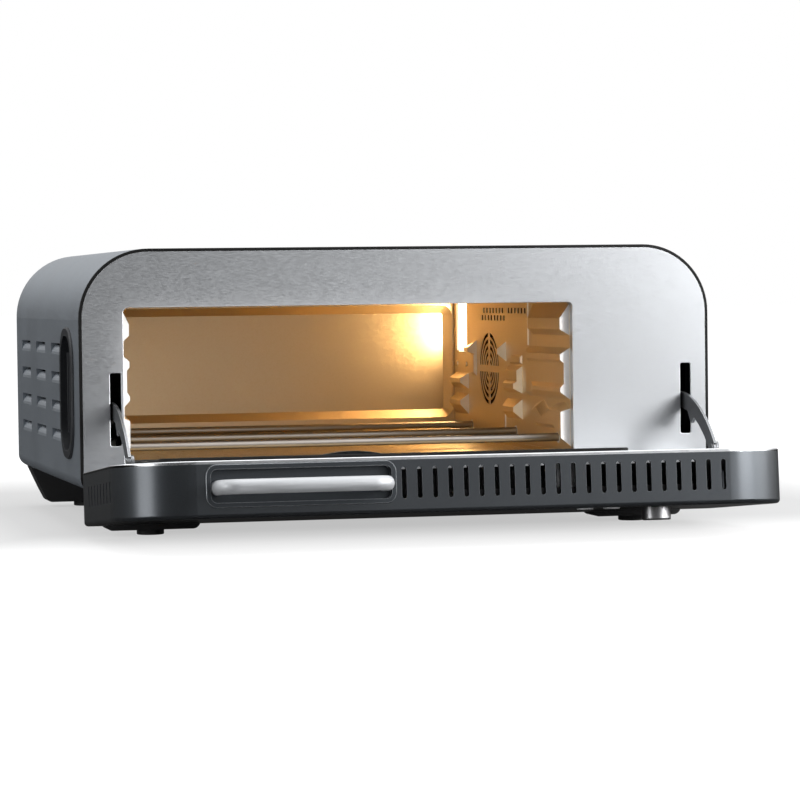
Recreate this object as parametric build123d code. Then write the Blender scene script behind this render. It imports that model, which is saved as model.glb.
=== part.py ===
from build123d import *
import os
from math import asin, atan2, cos, degrees, hypot, radians, sin, sqrt, tan

# Countertop oven for pizza: a low, wide steel box whose deep front door drops down on a bottom hinge.
# The model is drawn with the front panel's face at Y = 0, the body's lower edge at Z = 0 and the body's
# middle at X = 0. The last step moves everything so that the origin is under the middle of the whole
# object, on the surface that it stands on. The door is drawn upright, as it stands when it is shut,
# and is then laid open about its hinge to the place where it rests.

# Body
body_width = 500.0
body_height = 183.5
body_depth = 400.0
half_width = body_width / 2
top_radius = 53.6
base_radius = 10.0
sheet = 1.2
thin_sheet = 0.8
fit_gap = 0.3
base_lip = 12.0
base_slot_length = 60.0
base_slot_width = 3.4
base_slot_pitch = 9.0
base_slot_count = 8
base_slot_x = half_width - 96.0
base_slot_y = body_depth - 160.0

# Black trim between the wrap and the front panel
trim_width = 2.2
trim_depth = 1.6
trim_tongue = 7.0
wrap_edge_radius = 0.6

# Front panel: the opening is off centre, to leave room for the electric parts on the right
opening_left = 34.0 - half_width
opening_right = half_width - 111.6
opening_top = body_height - 44.7
opening_radius = 4.0
opening_flange = 6.0
panel_edge_radius = 0.6
arm_slot_left = 27.4 - half_width
arm_slot_right = half_width - 18.9
arm_slot_width = 8.4
arm_slot_low = 34.0
arm_slot_high = 89.4
arm_slot_radius = 1.6
panel_return = 6.0

# Door, drawn shut
door_thickness = 40.5
door_gap = 1.0
door_wall = 3.0
door_below_axis = 13.0
door_edge_radius = 3.0
door_foot_radius = 9.0
inner_lip = 2.4
inner_sheet = 1.0
hinge_y = -17.85
hinge_z = -1.1
open_tilt = 5.05
plug_height = 4.0
plug_gap = 2.0
plug_width = 12.0
plug_radius = 8.0
glass_thickness = 3.0
glass_seat = 8.0
inner_edge = 0.9
seal_edge = 0.5
plug_inner_radius = 1.0
fascia_edge = 0.6
seal_cap = 1.3
fascia_rim = 8.0

# Crumb tray under the lower heaters
tray_front = 6.0
tray_end_gap = 9.0
tray_side_gap = 5.0
tray_rest_gap = 0.3
tray_slide_gap = 0.4
tray_rim = 4.0
tray_tab_height = 7.9
tray_tab_radius = 116.0
tray_travel = 65.0
tray_tab_half = 40.0

# Cavity
cavity_depth = body_depth - 30.0
cavity_height = body_height - 41.2
roof_gap = 0.3
wall_vent_pitch = 10.0
wall_vent_width = 5.0
wall_vent_height = 4.4
wall_vents = ((137.0, 6, 131.6), (206.0, 7, 131.6), (201.5, 8, 125.3))
back_margin = 2.0
back_low_margin = 18.1
back_high = 118.4
back_radius = 9.5
back_field_depth = 7.0
back_slant = 45.0
floor_beads = 3
floor_bead_margin = 40.0
floor_bead_width = 14.0
floor_bead_depth = 1.6

# Forms pressed out of both side walls. Each has its outline on the wall, as depth and height over the
# cavity's floor, the outline of its crown, and how far from the wall the two stand. The level gaps
# between them are the runners for a rack.
rack_forms = {
    "upper_field": (((8, 94.7), (112, 94.7), (112, 119.7), (8, 119.7)),
                    ((8, 99.7), (100, 99.7), (100, 108.2), (8, 108.2)), 0.0, 8.0),
    "middle_plate": (((8, 44.2), (124, 44.2), (124, 84.9), (8, 84.9)),
                     ((8, 47.95), (117, 47.95), (117, 81.8), (8, 81.8)), 0.0, 5.0),
    "middle_upper_ridge": (((8, 72.5), (112, 72.5), (112, 82.28), (8, 82.28)),
                           ((8, 75.5), (105, 75.5), (105, 79.9), (8, 79.9)), 4.2, 8.0),
    "middle_lower_ridge": (((8, 47.35), (107, 47.35), (107, 57.6), (8, 57.6)),
                           ((8, 50.2), (87, 50.2), (87, 53.4), (8, 53.4)), 4.2, 8.0),
    "lower_field": (((8, 7.6), (33, 20), (96, 20), (110, 26.2), (104, 38.2), (82, 42.2), (64, 33.2),
                     (46, 40.2), (22, 42.2), (8, 37.2)),
                    ((8, 14.2), (30, 23.7), (84, 23.7), (94, 27.2), (93, 33.2), (80, 36.7), (62, 29.2),
                     (42, 35.2), (20, 35.9), (8, 34.7)), 0.0, 8.0),
    "near_plate": (((146, 52.2), (188, 52.2), (188, 67.7), (146, 67.7)),
                   ((146, 56.2), (180, 56.2), (180, 64.2), (146, 64.2)), 0.0, 5.0),
    "near_ridge": (((146, 45.2), (189, 45.2), (189, 58.2), (146, 58.2)),
                   ((146, 49.4), (178, 49.4), (178, 53.4), (146, 53.4)), 0.0, 8.0),
    "near_low_ridge": (((146, 23.7), (192, 23.7), (192, 40.2), (146, 40.2)),
                       ((146, 30.2), (180, 30.2), (180, 34.0), (146, 34.0)), 0.0, 8.0),
    "rear_ridge": (((319, 44.5), (361, 44.5), (361, 58.6), (319, 58.6)),
                   ((319, 50.2), (356, 50.2), (356, 54.0), (319, 54.0)), 0.0, 8.0),
    "rear_low_ridge": (((319, 22.2), (361, 22.2), (361, 40.2), (319, 40.2)),
                       ((319, 31.0), (356, 31.0), (356, 34.8), (319, 34.8)), 0.0, 8.0),
}
fan_side_forms = {
    "catch_stem": (((291, 56.7), (306, 56.7), (306, 78), (291, 78)),
                   ((291, 59.7), (301, 59.7), (301, 75), (291, 75)), 0.0, 3.0),
    "catch_head": (((291, 75.2), (322, 77), (322, 83), (291, 87.7)),
                   ((291, 77.7), (306, 78.2), (306, 81.6), (291, 81.7)), 0.0, 8.0),
    "catch_point": (((195, 70.9), (216, 75), (216, 81), (195, 87.7)),
                    ((195, 77.5), (200, 78), (200, 81.2), (195, 81.5)), 0.0, 8.0),
    "flat_pad": (((145, 69.4), (182, 68.8), (176, 77), (145, 77)),
                 ((147, 71.2), (178.6, 70.8), (174.4, 75.2), (147, 75.2)), 0.0, 1.6),
    "front_bead": (((125, 85.6), (128, 85.6), (128, 120.6), (125, 120.6)),
                   ((125, 85.6), (128, 85.6), (128, 120.6), (125, 120.6)), 0.0, 1.2),
    "low_bead": (((197, 10), (200, 10), (200, 29), (197, 29)),
                 ((197, 10), (200, 10), (200, 29), (197, 29)), 0.0, 1.2),
}
left_share = 0.68
rivet_radius = 2.4
rivet_height = 1.6
rivet_pitch = 31.3
rivet_drop = 33.8

# Heaters
heater_radius = 3.25
heater_past_wall = 14.0
lower_heater_height = 13.3
upper_heater_height = cavity_height - 12.0
heater_depths = {"front": 43.0, "middle": 167.0, "rear": cavity_depth - 60.0}
bush_radius = 6.0
bush_length = 9.0
bush_clearance = 0.3
heater_pin_radius = 1.5
heater_pin_length = 6.0
bush_neck_radius = 4.6

# Convection fan on the right wall
fan_y = cavity_depth - 119.8
fan_z = 81.6
fan_grille_radii = (7.6, 13.0, 18.4, 23.8, 29.2)
fan_slot_width = 3.4
fan_web = 5.6
fan_housing_radius = 40.0
fan_housing_depth = 26.0
impeller_radius = 32.0
impeller_hub_radius = 8.0
impeller_blades = 8
impeller_blade_width = 14.0
impeller_wall_gap = 6.0
shaft_radius = 3.0
shaft_clearance = 0.06
motor_radius = 21.0
motor_length = 24.0
fan_flange = 6.0
shaft_hole_radius = 6.0
blade_start = 0.55
blade_offset = 6.0
impeller_hub_length = 8.0
shaft_length = 20.0
motor_gap = 4.0
motor_plate = 2.0
motor_edge = 3.0
motor_boss_radius = 7.0
motor_bore_depth = 12.0
bracket_width = 18.0

# Lamp on the right wall, near the back
lamp_y = cavity_depth - 28.8
lamp_z = 118.0
lamp_window_width = 34.0
lamp_window_height = 46.0
lamp_corner = 4.0
lamp_glass_thickness = 3.0
lamp_glass_lap = 4.0
lamp_housing_depth = 30.0
bulb_radius = 8.0
bulb_length = 30.0
socket_radius = 7.5
socket_length = 12.0

# Feet
foot_x = half_width - 56.5
foot_depth = 28.0
front_foot_y = 26.0
rear_foot_y = body_depth - 15.0
foot_top_width = 99.0
foot_bottom_width = 69.0
foot_height = 31.0
pad_radius = 10.5
pad_height = 5.3
pad_recess = 1.0
foot_chamfer = 6.0
foot_corner = 6.0
pad_edge = 0.8

# Side grips
grip_y = 66.5
grip_z = 73.0
grip_length = 71.0
grip_height = 102.0
grip_corner = 30.0
grip_rim = 5.0
grip_rim_height = 2.0
grip_depth = 5.0
grip_wall = 1.5
grip_ribs = 4
grip_rib_pitch = 10.0
grip_rib_width = 3.0
grip_rib_height = 3.2

# Side louvres: rows by height, columns by depth
louvre_rows = 4
louvre_columns = 3
louvre_first_z = 106.5
louvre_row_pitch = 22.8
louvre_first_y = body_depth - 68.0
louvre_column_pitch = 98.5
louvre_length = 62.0
louvre_height = 9.0
louvre_depth = 4.0
louvre_slot = 1.8
louvre_steps = (0.0, 0.3, 0.55, 0.8, 1.0)

# Door arms
arm_pin_y = 4.0
arm_pin_z = 52.0
arm_start_angle = 47.0
arm_bend_radius = 112.0
arm_hook_width = 6.5
arm_half_width = 6.2
arm_boss_radius = 4.6
arm_sheet = 2.0
arm_offset = 1.3
arm_pin_radius = 2.0
arm_pin_clearance = 0.06
arm_pin_head = 3.2
arm_ratio = -0.9
arm_hook_drop = 9.0
arm_tooth_at = 54.0
arm_tooth_drop = 6.0
arm_tooth = ((-7.0, -1.0), (-5.0, 0.0), (-1.0, 1.0), (3.0, 1.0), (12.0, 0.0), (14.0, -1.0))
guide_plate_offset = 5.4
guide_foot = 12.0
arm_gap = 0.4
arm_head_height = 0.8
bracket_ear_radius = 5.0
bracket_foot = 12.0
bracket_flange = 3.4
guide_y = 22.0
guide_radius = 2.5
guide_gap = 0.45

# Hinges
hinge_x = half_width - 122.0
hinge_plate = 3.0
hinge_eye_radius = 5.5
hinge_pin_radius = 3.0
hinge_clearance = 0.06
hinge_slot_gap = 1.0
hinge_foot_length = 44.0
hinge_foot_width = 22.0
hinge_block_width = 24.0
hinge_front = 2.0
hinge_screw_shift = 6.5
hinge_screw_depths = (14.0, 36.0)

# Handle on the door's top edge
handle_x = 128.4 - half_width
handle_plate_width = 134.8
handle_plate_height = 28.6
handle_plate_shift = 1.2
handle_plate_radius = 7.0
handle_plate_rim = 2.5
handle_recess = 5.0
handle_from_rim = 19.2
handle_span = 120.0
handle_bar_width = 10.5
handle_bar_thickness = 9.0
handle_reach = 24.0
handle_bend = 13.0
handle_plate_lap = 1.0
handle_plate_proud = 0.8
handle_top_radius = 520.0

# Vents in the door's edges
vent_count = 22
vent_first_x = 202.5 - half_width
vent_last_x = half_width - 58.7
vent_from_rim = 18.9
vent_length = 22.5
vent_width = 3.6
side_vent_count = 8
side_vent_first_z = 23.0
side_vent_last_z = 131.0
side_vent_length = 15.5
side_vent_width = 3.4

# Controls on the door's outer face
control_z = body_height - 22.0
knob_x = half_width - 104.0
knob_radius = 10.5
knob_height = 9.5
knob_face_gap = 0.4
knob_edge = 1.2
encoder_shaft_radius = 3.0
button_radius = 6.0
button_x = {"start_button": knob_x - 34.0, "light_button": knob_x - 54.0}
button_proud = 0.8
button_travel = 1.2
button_clearance = 0.25
display_x = knob_x - 106.0
display_width = 64.0
display_height = 20.0
board_thickness = 1.6
board_left = knob_x - 150.0
board_right = knob_x + 22.0
board_half_height = 14.0
carrier_wall = 2.5
carrier_ledge = 2.0
carrier_rail = 2.0
switch_width = 6.0
encoder_width = 13.0
control_gap = 9.0
switch_height = 3.0
encoder_height = 6.5
knob_dish = 0.6
button_edge = 0.4
button_stem_radius = 2.0

# Insulation, electric parts and rear cover
blanket_thickness = 12.0
blanket_gap = 0.5
board_x = half_width - 90.0
board_width = 70.0
board_y = body_depth - 108.0
board_length = 80.0
board_post = 8.0
board_post_radius = 3.0
board_cans = ((8.0, 10.0, 26.0, 30.0, 22.0), (42.0, 12.0, 18.0, 22.0, 15.0), (42.0, 44.0, 18.0, 22.0, 15.0))
board_coil = (20.0, 58.0, 7.0, 20.0)
terminal_x = half_width - 90.0
terminal_width = 36.0
terminal_y = 130.0
terminal_length = 18.0
terminal_height = 16.0
terminal_ways = 3
terminal_hole = 2.6
gland_flange = 3.0
gland_flange_height = 3.0
gland_neck = 10.0
gland_bore = 4.0
cutout_y = 180.0
cutout_z = 108.0
cutout_radius = 8.5
cutout_height = 9.0
cutout_tab = 6.0
rear_field_low = 25.0
rear_field_high = body_height - 59.5
rear_field_inset = 5.0
rear_field_depth = 8.0
rear_slot_length = 22.0
rear_slot_width = 3.4
rear_slot_pitch = 8.0
rear_slot_columns = 7
rear_slot_groups = (130.0 - half_width, half_width - 178.0)
rear_slot_rows = (90.0, 58.0)
rear_screw_outer_x = half_width - 18.0
rear_screw_inner_x = half_width - 170.0
rear_screw_low_z = 12.0
rear_screw_high_z = body_height - 48.5
rear_screw_top_z = body_height - 10.5
gland_x = half_width - 60.0
gland_z = 48.0
gland_radius = 8.0
screw_head_radius = 3.2
screw_head_height = 1.8
screw_radius = 1.7
screw_clearance = 0.1

# Derived places
door_inner = -door_gap
door_outer = door_inner - door_thickness
door_low = hinge_z - door_below_axis
door_high = body_height
rim_to_axis = door_inner - hinge_y
closing_angle = 90.0 - open_tilt
panel_inset = trim_width + 0.2
slope = tan(radians(open_tilt))
plug_face_at_panel = hinge_z + (rim_to_axis + plug_height) / cos(radians(open_tilt)) + hinge_y * slope
tray_low = plug_face_at_panel - tray_front * slope + tray_slide_gap
opening_bottom = tray_low - tray_rest_gap
opening_x = (opening_left + opening_right) / 2
cavity_front = sheet + opening_flange + fit_gap
cavity_roof = opening_bottom + cavity_height
wall_left = opening_left
wall_right = opening_right
floor_low = opening_bottom - sheet
vent_pitch = (vent_last_x - vent_first_x) / (vent_count - 1)
side_vent_pitch = (side_vent_last_z - side_vent_first_z) / (side_vent_count - 1)
floor_level = -(foot_height + pad_height - pad_recess)

hinge_axis = Axis((0, hinge_y, hinge_z), (1, 0, 0))


def along_y(sketch, y_from, y_to):
    """Carries a sketch drawn in (x, z) from one depth to another."""
    return extrude(Plane((0, y_to, 0), (1, 0, 0), (0, -1, 0)) * sketch, y_to - y_from)


def along_x(sketch, x_from, x_to):
    """Carries a sketch drawn in (y, z) from one side to another."""
    return extrude(Plane((x_from, 0, 0), (0, 1, 0), (1, 0, 0)) * sketch, x_to - x_from)


def along_z(sketch, z_from, z_to):
    """Carries a sketch drawn in (x, y) from one height to another."""
    return extrude(Plane((0, 0, z_from), (1, 0, 0), (0, 0, 1)) * sketch, z_to - z_from)


def block(x_from, x_to, y_from, y_to, z_from, z_to):
    """A plain block between six planes."""
    size = (x_to - x_from, y_to - y_from, z_to - z_from)
    middle = ((x_from + x_to) / 2, (y_from + y_to) / 2, (z_from + z_to) / 2)
    return Pos(*middle) * Box(*size)


def plate(x_from, x_to, low, high, radius):
    """A rectangle with round corners between four lines, drawn in the sketch's own axes."""
    return Pos((x_from + x_to) / 2, (low + high) / 2) * RectangleRounded(x_to - x_from, high - low, radius)


def arch(half, low, high, upper_radius, lower_radius):
    """A front view with large corners above and small ones below."""
    face = Pos(0, (low + high) / 2) * Rectangle(2 * half, high - low)
    face = fillet(face.vertices().group_by(Axis.Y)[-1], upper_radius)
    return fillet(face.vertices().group_by(Axis.Y)[0], lower_radius)


def body_outline(inset):
    """The body's front view, drawn in by a given amount all round."""
    return arch(half_width - inset, inset, body_height - inset, top_radius - inset, base_radius - inset)


def door_outline(inset):
    """The shut door's front view, drawn in by a given amount all round."""
    return arch(half_width - inset, door_low + inset, door_high - inset,
                top_radius - inset, max(door_foot_radius - inset, door_wall))


def screw(x, y, z, direction, length):
    """A pan-head screw whose head stands out of a surface against the way that it is driven."""
    seat = Plane((x, y, z), z_dir=direction)
    head = extrude(seat * Circle(screw_head_radius), -screw_head_height)
    shank = extrude(seat * Circle(screw_radius), length)
    head = fillet(head.edges().sort_by(Axis((x, y, z), direction))[0], screw_head_height / 3)
    return head + shank


def screw_hole(x, y, z, direction, length):
    """The clearance hole for a screw of the same place and direction."""
    seat = Plane((x, y, z), z_dir=direction)
    return extrude(seat * Circle(screw_radius + screw_clearance), length)


def pressed(face, height, slant):
    """A raised field with sloping sides, like a press leaves in sheet."""
    return extrude(face, height, taper=slant)


# Casing

def make_louvre(side):
    """Cutter and scoop of one row of side louvres, pressed inwards at their upper edge."""
    wall = side * half_width
    cutters = []
    scoops = []
    for row in range(louvre_rows):
        top = louvre_first_z - row * louvre_row_pitch + louvre_height / 2
        low = top - louvre_height
        rise = louvre_height - louvre_slot
        curve = [(wall - side * louvre_depth * t ** 2, low + rise * t) for t in louvre_steps]
        under = [(x - side * sheet, z) for x, z in reversed(curve)]
        slat = make_face(Polyline(*curve, *under, close=True))
        cheek = make_face(Polyline(*reversed(under), (under[0][0], top), (wall, top), (wall, low), close=True))
        for column in range(louvre_columns):
            middle = louvre_first_y - column * louvre_column_pitch
            start = middle - louvre_length / 2
            end = middle + louvre_length / 2
            cutters.append(block(min(wall, wall - side * 2 * sheet), max(wall, wall - side * 2 * sheet),
                                 start, end, low, top))
            scoops.append(along_y(slat, start, end))
            for at in (start, end - sheet):
                scoops.append(along_y(cheek, at, at + sheet))
    return cutters, scoops


def make_outer_wrap():
    """Painted wrap of one bent sheet: roof, both sides and the lips under them."""
    wrap = along_y(body_outline(0), trim_depth, body_depth)
    wrap = fillet(wrap.faces().sort_by(Axis.Y)[0].edges(), wrap_edge_radius)
    wrap -= along_y(body_outline(sheet), 0, body_depth + sheet)
    wrap -= block(-half_width + base_lip, half_width - base_lip, 0, body_depth + sheet, -sheet, 2 * sheet)
    for side in (-1, 1):
        hole = Pos(grip_y, grip_z) * RectangleRounded(grip_length - 2 * grip_rim, grip_height - 2 * grip_rim,
                                                      grip_corner - grip_rim)
        edge = side * half_width
        wrap -= along_x(hole, min(edge, edge - side * 3 * sheet), max(edge, edge - side * 3 * sheet))
        cutters, scoops = make_louvre(side)
        wrap = wrap - cutters + scoops
    corner = plate(body_depth - base_radius, body_depth + base_radius, -base_radius, base_radius, 1.0)
    corner -= Pos(body_depth - base_radius, base_radius) * Circle(base_radius)
    return wrap - along_x(corner, -half_width - sheet, half_width + sheet)


def make_front_trim():
    """Black edge strip that fills the joint between the wrap and the front panel."""
    strip = along_y(body_outline(0) - body_outline(trim_width), 0, trim_depth)
    tongue = body_outline(sheet + fit_gap) - body_outline(trim_width)
    return strip + along_y(tongue, trim_depth, trim_depth + trim_tongue)


def arm_slot(centre):
    """Outline of a tall slot in the panel."""
    return plate(centre - arm_slot_width / 2, centre + arm_slot_width / 2,
                 arm_slot_low, arm_slot_high, arm_slot_radius)


def make_front_panel():
    """Brushed panel with the cavity's opening, the two arm slots and edges bent back."""
    face = body_outline(panel_inset)
    opening = plate(opening_left, opening_right, opening_bottom, opening_top, opening_radius)
    collar = plate(opening_left - sheet, opening_right + sheet, opening_bottom - sheet,
                   opening_top + sheet, opening_radius + sheet)
    panel = along_y(face, 0, sheet)
    panel += along_y(face - body_outline(panel_inset + sheet), sheet, sheet + panel_return)
    panel += along_y(collar, sheet, sheet + opening_flange)
    panel -= along_y(opening, -sheet, 2 * sheet + opening_flange)
    for centre in (arm_slot_left, arm_slot_right):
        panel -= along_y(arm_slot(centre), -sheet, 2 * sheet)
    front = panel.faces().sort_by(Axis.Y)[0]
    return fillet(front.inner_wires().edges(), panel_edge_radius)


def rear_screw_spots():
    """Where the rear cover is screwed on: near its corners and along its upper and lower edges."""
    spots = []
    for side in (-1, 1):
        spots.append((side * rear_screw_outer_x, rear_screw_low_z))
        spots.append((side * rear_screw_outer_x, rear_screw_high_z))
        spots.append((side * rear_screw_inner_x, rear_screw_low_z))
        spots.append((side * rear_screw_inner_x, rear_screw_top_z))
    return spots


def make_rear_panel():
    """Black rear cover with a raised field, two groups of slots and the supply cord's hole."""
    inset = sheet + fit_gap
    back = body_depth
    cover = along_y(body_outline(inset), back - sheet, back)
    cover += along_y(body_outline(inset) - body_outline(inset + sheet), back - panel_return, back - sheet)
    half = half_width - rear_field_inset
    field = plate(-half, half, rear_field_low, rear_field_high, base_radius)
    hollow = plate(-half + sheet, half - sheet, rear_field_low + sheet, rear_field_high - sheet,
                   base_radius - sheet)
    cover += along_y(field, back, back + rear_field_depth)
    cover -= along_y(hollow, back - 2 * sheet, back + rear_field_depth - sheet)
    slot = Rot(0, 0, 90) * SlotOverall(rear_slot_length, rear_slot_width)
    for first_x in rear_slot_groups:
        for column in range(rear_slot_columns):
            for row_z in rear_slot_rows:
                place = Pos(first_x + column * rear_slot_pitch, row_z)
                cover -= along_y(place * slot, back - 2 * sheet, back + rear_field_depth + sheet)
    for x, z in rear_screw_spots():
        cover -= screw_hole(x, back, z, (0, -1, 0), 2 * sheet)
    hole = Pos(gland_x, gland_z) * Circle(gland_radius)
    return cover - along_y(hole, back - 2 * sheet, back + rear_field_depth + sheet)


def make_base_pan():
    """Bottom sheet between the wrap's lips, with air slots under the electric parts."""
    half = half_width - base_lip - fit_gap
    front = trim_depth + trim_tongue + fit_gap
    back = body_depth - panel_return - fit_gap
    pan = block(-half, half, front, back, 0, sheet)
    slot = Rot(0, 0, 90) * SlotOverall(base_slot_length, base_slot_width)
    for column in range(base_slot_count):
        pan -= along_z(Pos(base_slot_x + column * base_slot_pitch, base_slot_y) * slot, -sheet, 2 * sheet)
    return pan


def make_foot_blocks():
    """Four moulded blocks under the corners, wide at the top and rounded below."""
    profile = make_face(Polyline((-foot_top_width / 2, 0), (-foot_bottom_width / 2 - foot_chamfer, -foot_height * 0.62),
                                 (-foot_bottom_width / 2, -foot_height), (foot_bottom_width / 2, -foot_height),
                                 (foot_bottom_width / 2 + foot_chamfer, -foot_height * 0.62),
                                 (foot_top_width / 2, 0), close=True))
    profile = fillet(profile.vertices().group_by(Axis.Y)[0], foot_corner)
    recess = along_z(Circle(pad_radius + fit_gap), -foot_height - pad_height, -foot_height + pad_recess)
    foot = along_y(profile, -foot_depth / 2, foot_depth / 2) - recess
    places = [Pos(side * foot_x, y, 0) for side in (-1, 1) for y in (front_foot_y, rear_foot_y)]
    return Compound([place * foot for place in places])


def make_foot_pads():
    """Rubber pads pressed into the foot blocks."""
    pad = along_z(Circle(pad_radius), floor_level, floor_level + pad_height)
    pad = fillet(pad.edges().group_by(Axis.Z)[0], pad_edge)
    places = [Pos(side * foot_x, y, 0) for side in (-1, 1) for y in (front_foot_y, rear_foot_y)]
    return Compound([place * pad for place in places])


def make_grip(side):
    """Recessed finger grip: a bezel on the wall and a shallow pocket with upright ribs behind it."""
    wall = side * half_width
    outer = Pos(grip_y, grip_z) * RectangleRounded(grip_length, grip_height, grip_corner)
    neck = Pos(grip_y, grip_z) * RectangleRounded(grip_length - 2 * grip_rim - 2 * fit_gap,
                                                  grip_height - 2 * grip_rim - 2 * fit_gap,
                                                  grip_corner - grip_rim)
    mouth = Pos(grip_y, grip_z) * RectangleRounded(grip_length - 2 * grip_rim - 2 * grip_wall,
                                                   grip_height - 2 * grip_rim - 2 * grip_wall,
                                                   grip_corner - grip_rim - grip_wall)
    bezel = along_x(outer, 0, grip_rim_height)
    bezel = chamfer(bezel.faces().sort_by(Axis.X)[-1].edges(), grip_rim_height / 2)
    grip = bezel + along_x(neck, -grip_depth - grip_wall, 0) - along_x(mouth, -grip_depth, 2 * grip_rim_height)
    for number in range(grip_ribs):
        y = grip_y + (number - (grip_ribs - 1) / 2) * grip_rib_pitch
        high = grip_height / 2 - grip_rim - grip_corner / 2
        grip += block(-grip_depth, -grip_depth + grip_rib_height, y - grip_rib_width / 2,
                      y + grip_rib_width / 2, grip_z - high, grip_z + high)
    if side < 0:
        grip = mirror(grip, Plane.YZ)
    return Pos(wall, 0, 0) * grip


# Cavity

def drawn_in(outline, amount):
    """An outline with every side moved inwards by an amount; its corners run anticlockwise."""
    sides = []
    for (y1, z1), (y2, z2) in zip(outline, outline[1:] + outline[:1]):
        length = hypot(y2 - y1, z2 - z1)
        side_y = (z1 - z2) / length
        side_z = (y2 - y1) / length
        sides.append((side_y, side_z, side_y * y1 + side_z * z1 + amount))
    corners = []
    for (a1, b1, c1), (a2, b2, c2) in zip(sides[-1:] + sides[:-1], sides):
        cross = a1 * b2 - a2 * b1
        corners.append(((c1 * b2 - c2 * b1) / cross, (a1 * c2 - a2 * c1) / cross))
    return corners


def pressing(outline, crown, near, far):
    """Solid between an outline at one distance from the right wall and another farther into the cavity."""
    sections = []
    for corners, distance in ((outline, near), (crown, far)):
        plane = Plane((-distance, 0, opening_bottom), (0, 1, 0), (1, 0, 0))
        sections.append(plane * make_face(Polyline(*corners, close=True)))
    return loft(sections, ruled=True)


def make_side_wall(side):
    """One side of the liner, with the pressed runners that carry a pan or rack."""
    wall = wall_left if side < 0 else wall_right
    share = left_share if side < 0 else 1.0
    inner = along_x(plate(cavity_front, cavity_depth, floor_low, cavity_roof + roof_gap, 1.0), 0, sheet)
    forms = list(rack_forms.values())
    if side > 0:
        forms += list(fan_side_forms.values())
    hollows = []
    for outline, crown, near, far in forms:
        inner += pressing(outline, crown, near * share, far * share)
        start = near * share - 2 * thin_sheet if near else -sheet
        hollows.append(pressing(drawn_in(outline, thin_sheet), drawn_in(crown, thin_sheet), start,
                                far * share - thin_sheet))
    inner -= hollows
    for depth_at in heater_depths.values():
        for height in (lower_heater_height, upper_heater_height):
            hole = Pos(depth_at, opening_bottom + height) * Circle(bush_neck_radius + fit_gap)
            inner -= along_x(hole, -sheet, 2 * sheet)
    if side < 0:
        inner = mirror(inner, Plane.YZ)
    return Pos(wall, 0, 0) * inner


def arc_slot(radius, start, end):
    """One slot that follows a circle."""
    inner = radius - fan_slot_width / 2
    outer = radius + fan_slot_width / 2
    corners = []
    for reach, angle in ((inner, start), (outer, start), (outer, end), (inner, end)):
        corners.append((reach * cos(radians(angle)), reach * sin(radians(angle))))
    middle = (start + end) / 2
    far = (outer * cos(radians(middle)), outer * sin(radians(middle)))
    near = (inner * cos(radians(middle)), inner * sin(radians(middle)))
    edges = [Line(corners[0], corners[1]), ThreePointArc(corners[1], far, corners[2]),
             Line(corners[2], corners[3]), ThreePointArc(corners[3], near, corners[0])]
    return make_face(edges)


def make_right_wall():
    """Right side of the liner, with the fan's grille, two rows of vents and the lamp's window."""
    wall = make_side_wall(1)
    for radius in fan_grille_radii:
        margin = degrees((fan_web / 2) / radius)
        for quarter in range(4):
            shape = arc_slot(radius, quarter * 90 + margin, quarter * 90 + 90 - margin)
            wall -= along_x(Pos(fan_y, fan_z) * shape, wall_right - sheet, wall_right + 2 * sheet)
    for first, count, height in wall_vents:
        for number in range(count):
            shape = Pos(first + number * wall_vent_pitch, height) * Rectangle(wall_vent_width, wall_vent_height)
            wall -= along_x(shape, wall_right - sheet, wall_right + 2 * sheet)
    window = Pos(lamp_y, lamp_z) * RectangleRounded(lamp_window_width, lamp_window_height, lamp_corner)
    wall -= along_x(window, wall_right - sheet, wall_right + 2 * sheet)
    for side in (-1, 1):
        head = along_x(Pos(lamp_y + side * rivet_pitch / 2, lamp_z - rivet_drop) * Circle(rivet_radius),
                       wall_right - rivet_height, wall_right)
        wall += fillet(head.edges().sort_by(Axis.X)[0], rivet_height / 2)
    return wall


def make_cavity_back():
    """Back of the liner: a frame round one large field that is pressed backwards with sloping sides."""
    front = cavity_depth - sheet - fit_gap
    back = block(wall_left + fit_gap, wall_right - fit_gap, front, front + sheet,
                 opening_bottom + fit_gap, cavity_roof - fit_gap)
    left = wall_left + back_margin
    right = wall_right - back_margin
    low = opening_bottom + back_low_margin
    high = opening_bottom + back_high
    plane = Plane((0, front, 0), (-1, 0, 0), (0, 1, 0))
    outer = plane * plate(-right - sheet, -left + sheet, low - sheet, high + sheet, back_radius + sheet)
    inner = plane * plate(-right, -left, low, high, back_radius)
    back += pressed(outer, back_field_depth + sheet, back_slant)
    return back - pressed(inner, back_field_depth, back_slant)


def make_cavity_roof():
    """Roof of the liner with a lip that comes down behind the opening's upper edge."""
    roof = block(wall_left - sheet, wall_right + sheet, cavity_front, cavity_depth,
                 cavity_roof + roof_gap, cavity_roof + roof_gap + sheet)
    header = block(wall_left + fit_gap, wall_right - fit_gap, cavity_front, cavity_front + sheet,
                   opening_top + sheet + fit_gap, cavity_roof + roof_gap)
    return roof + header


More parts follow.
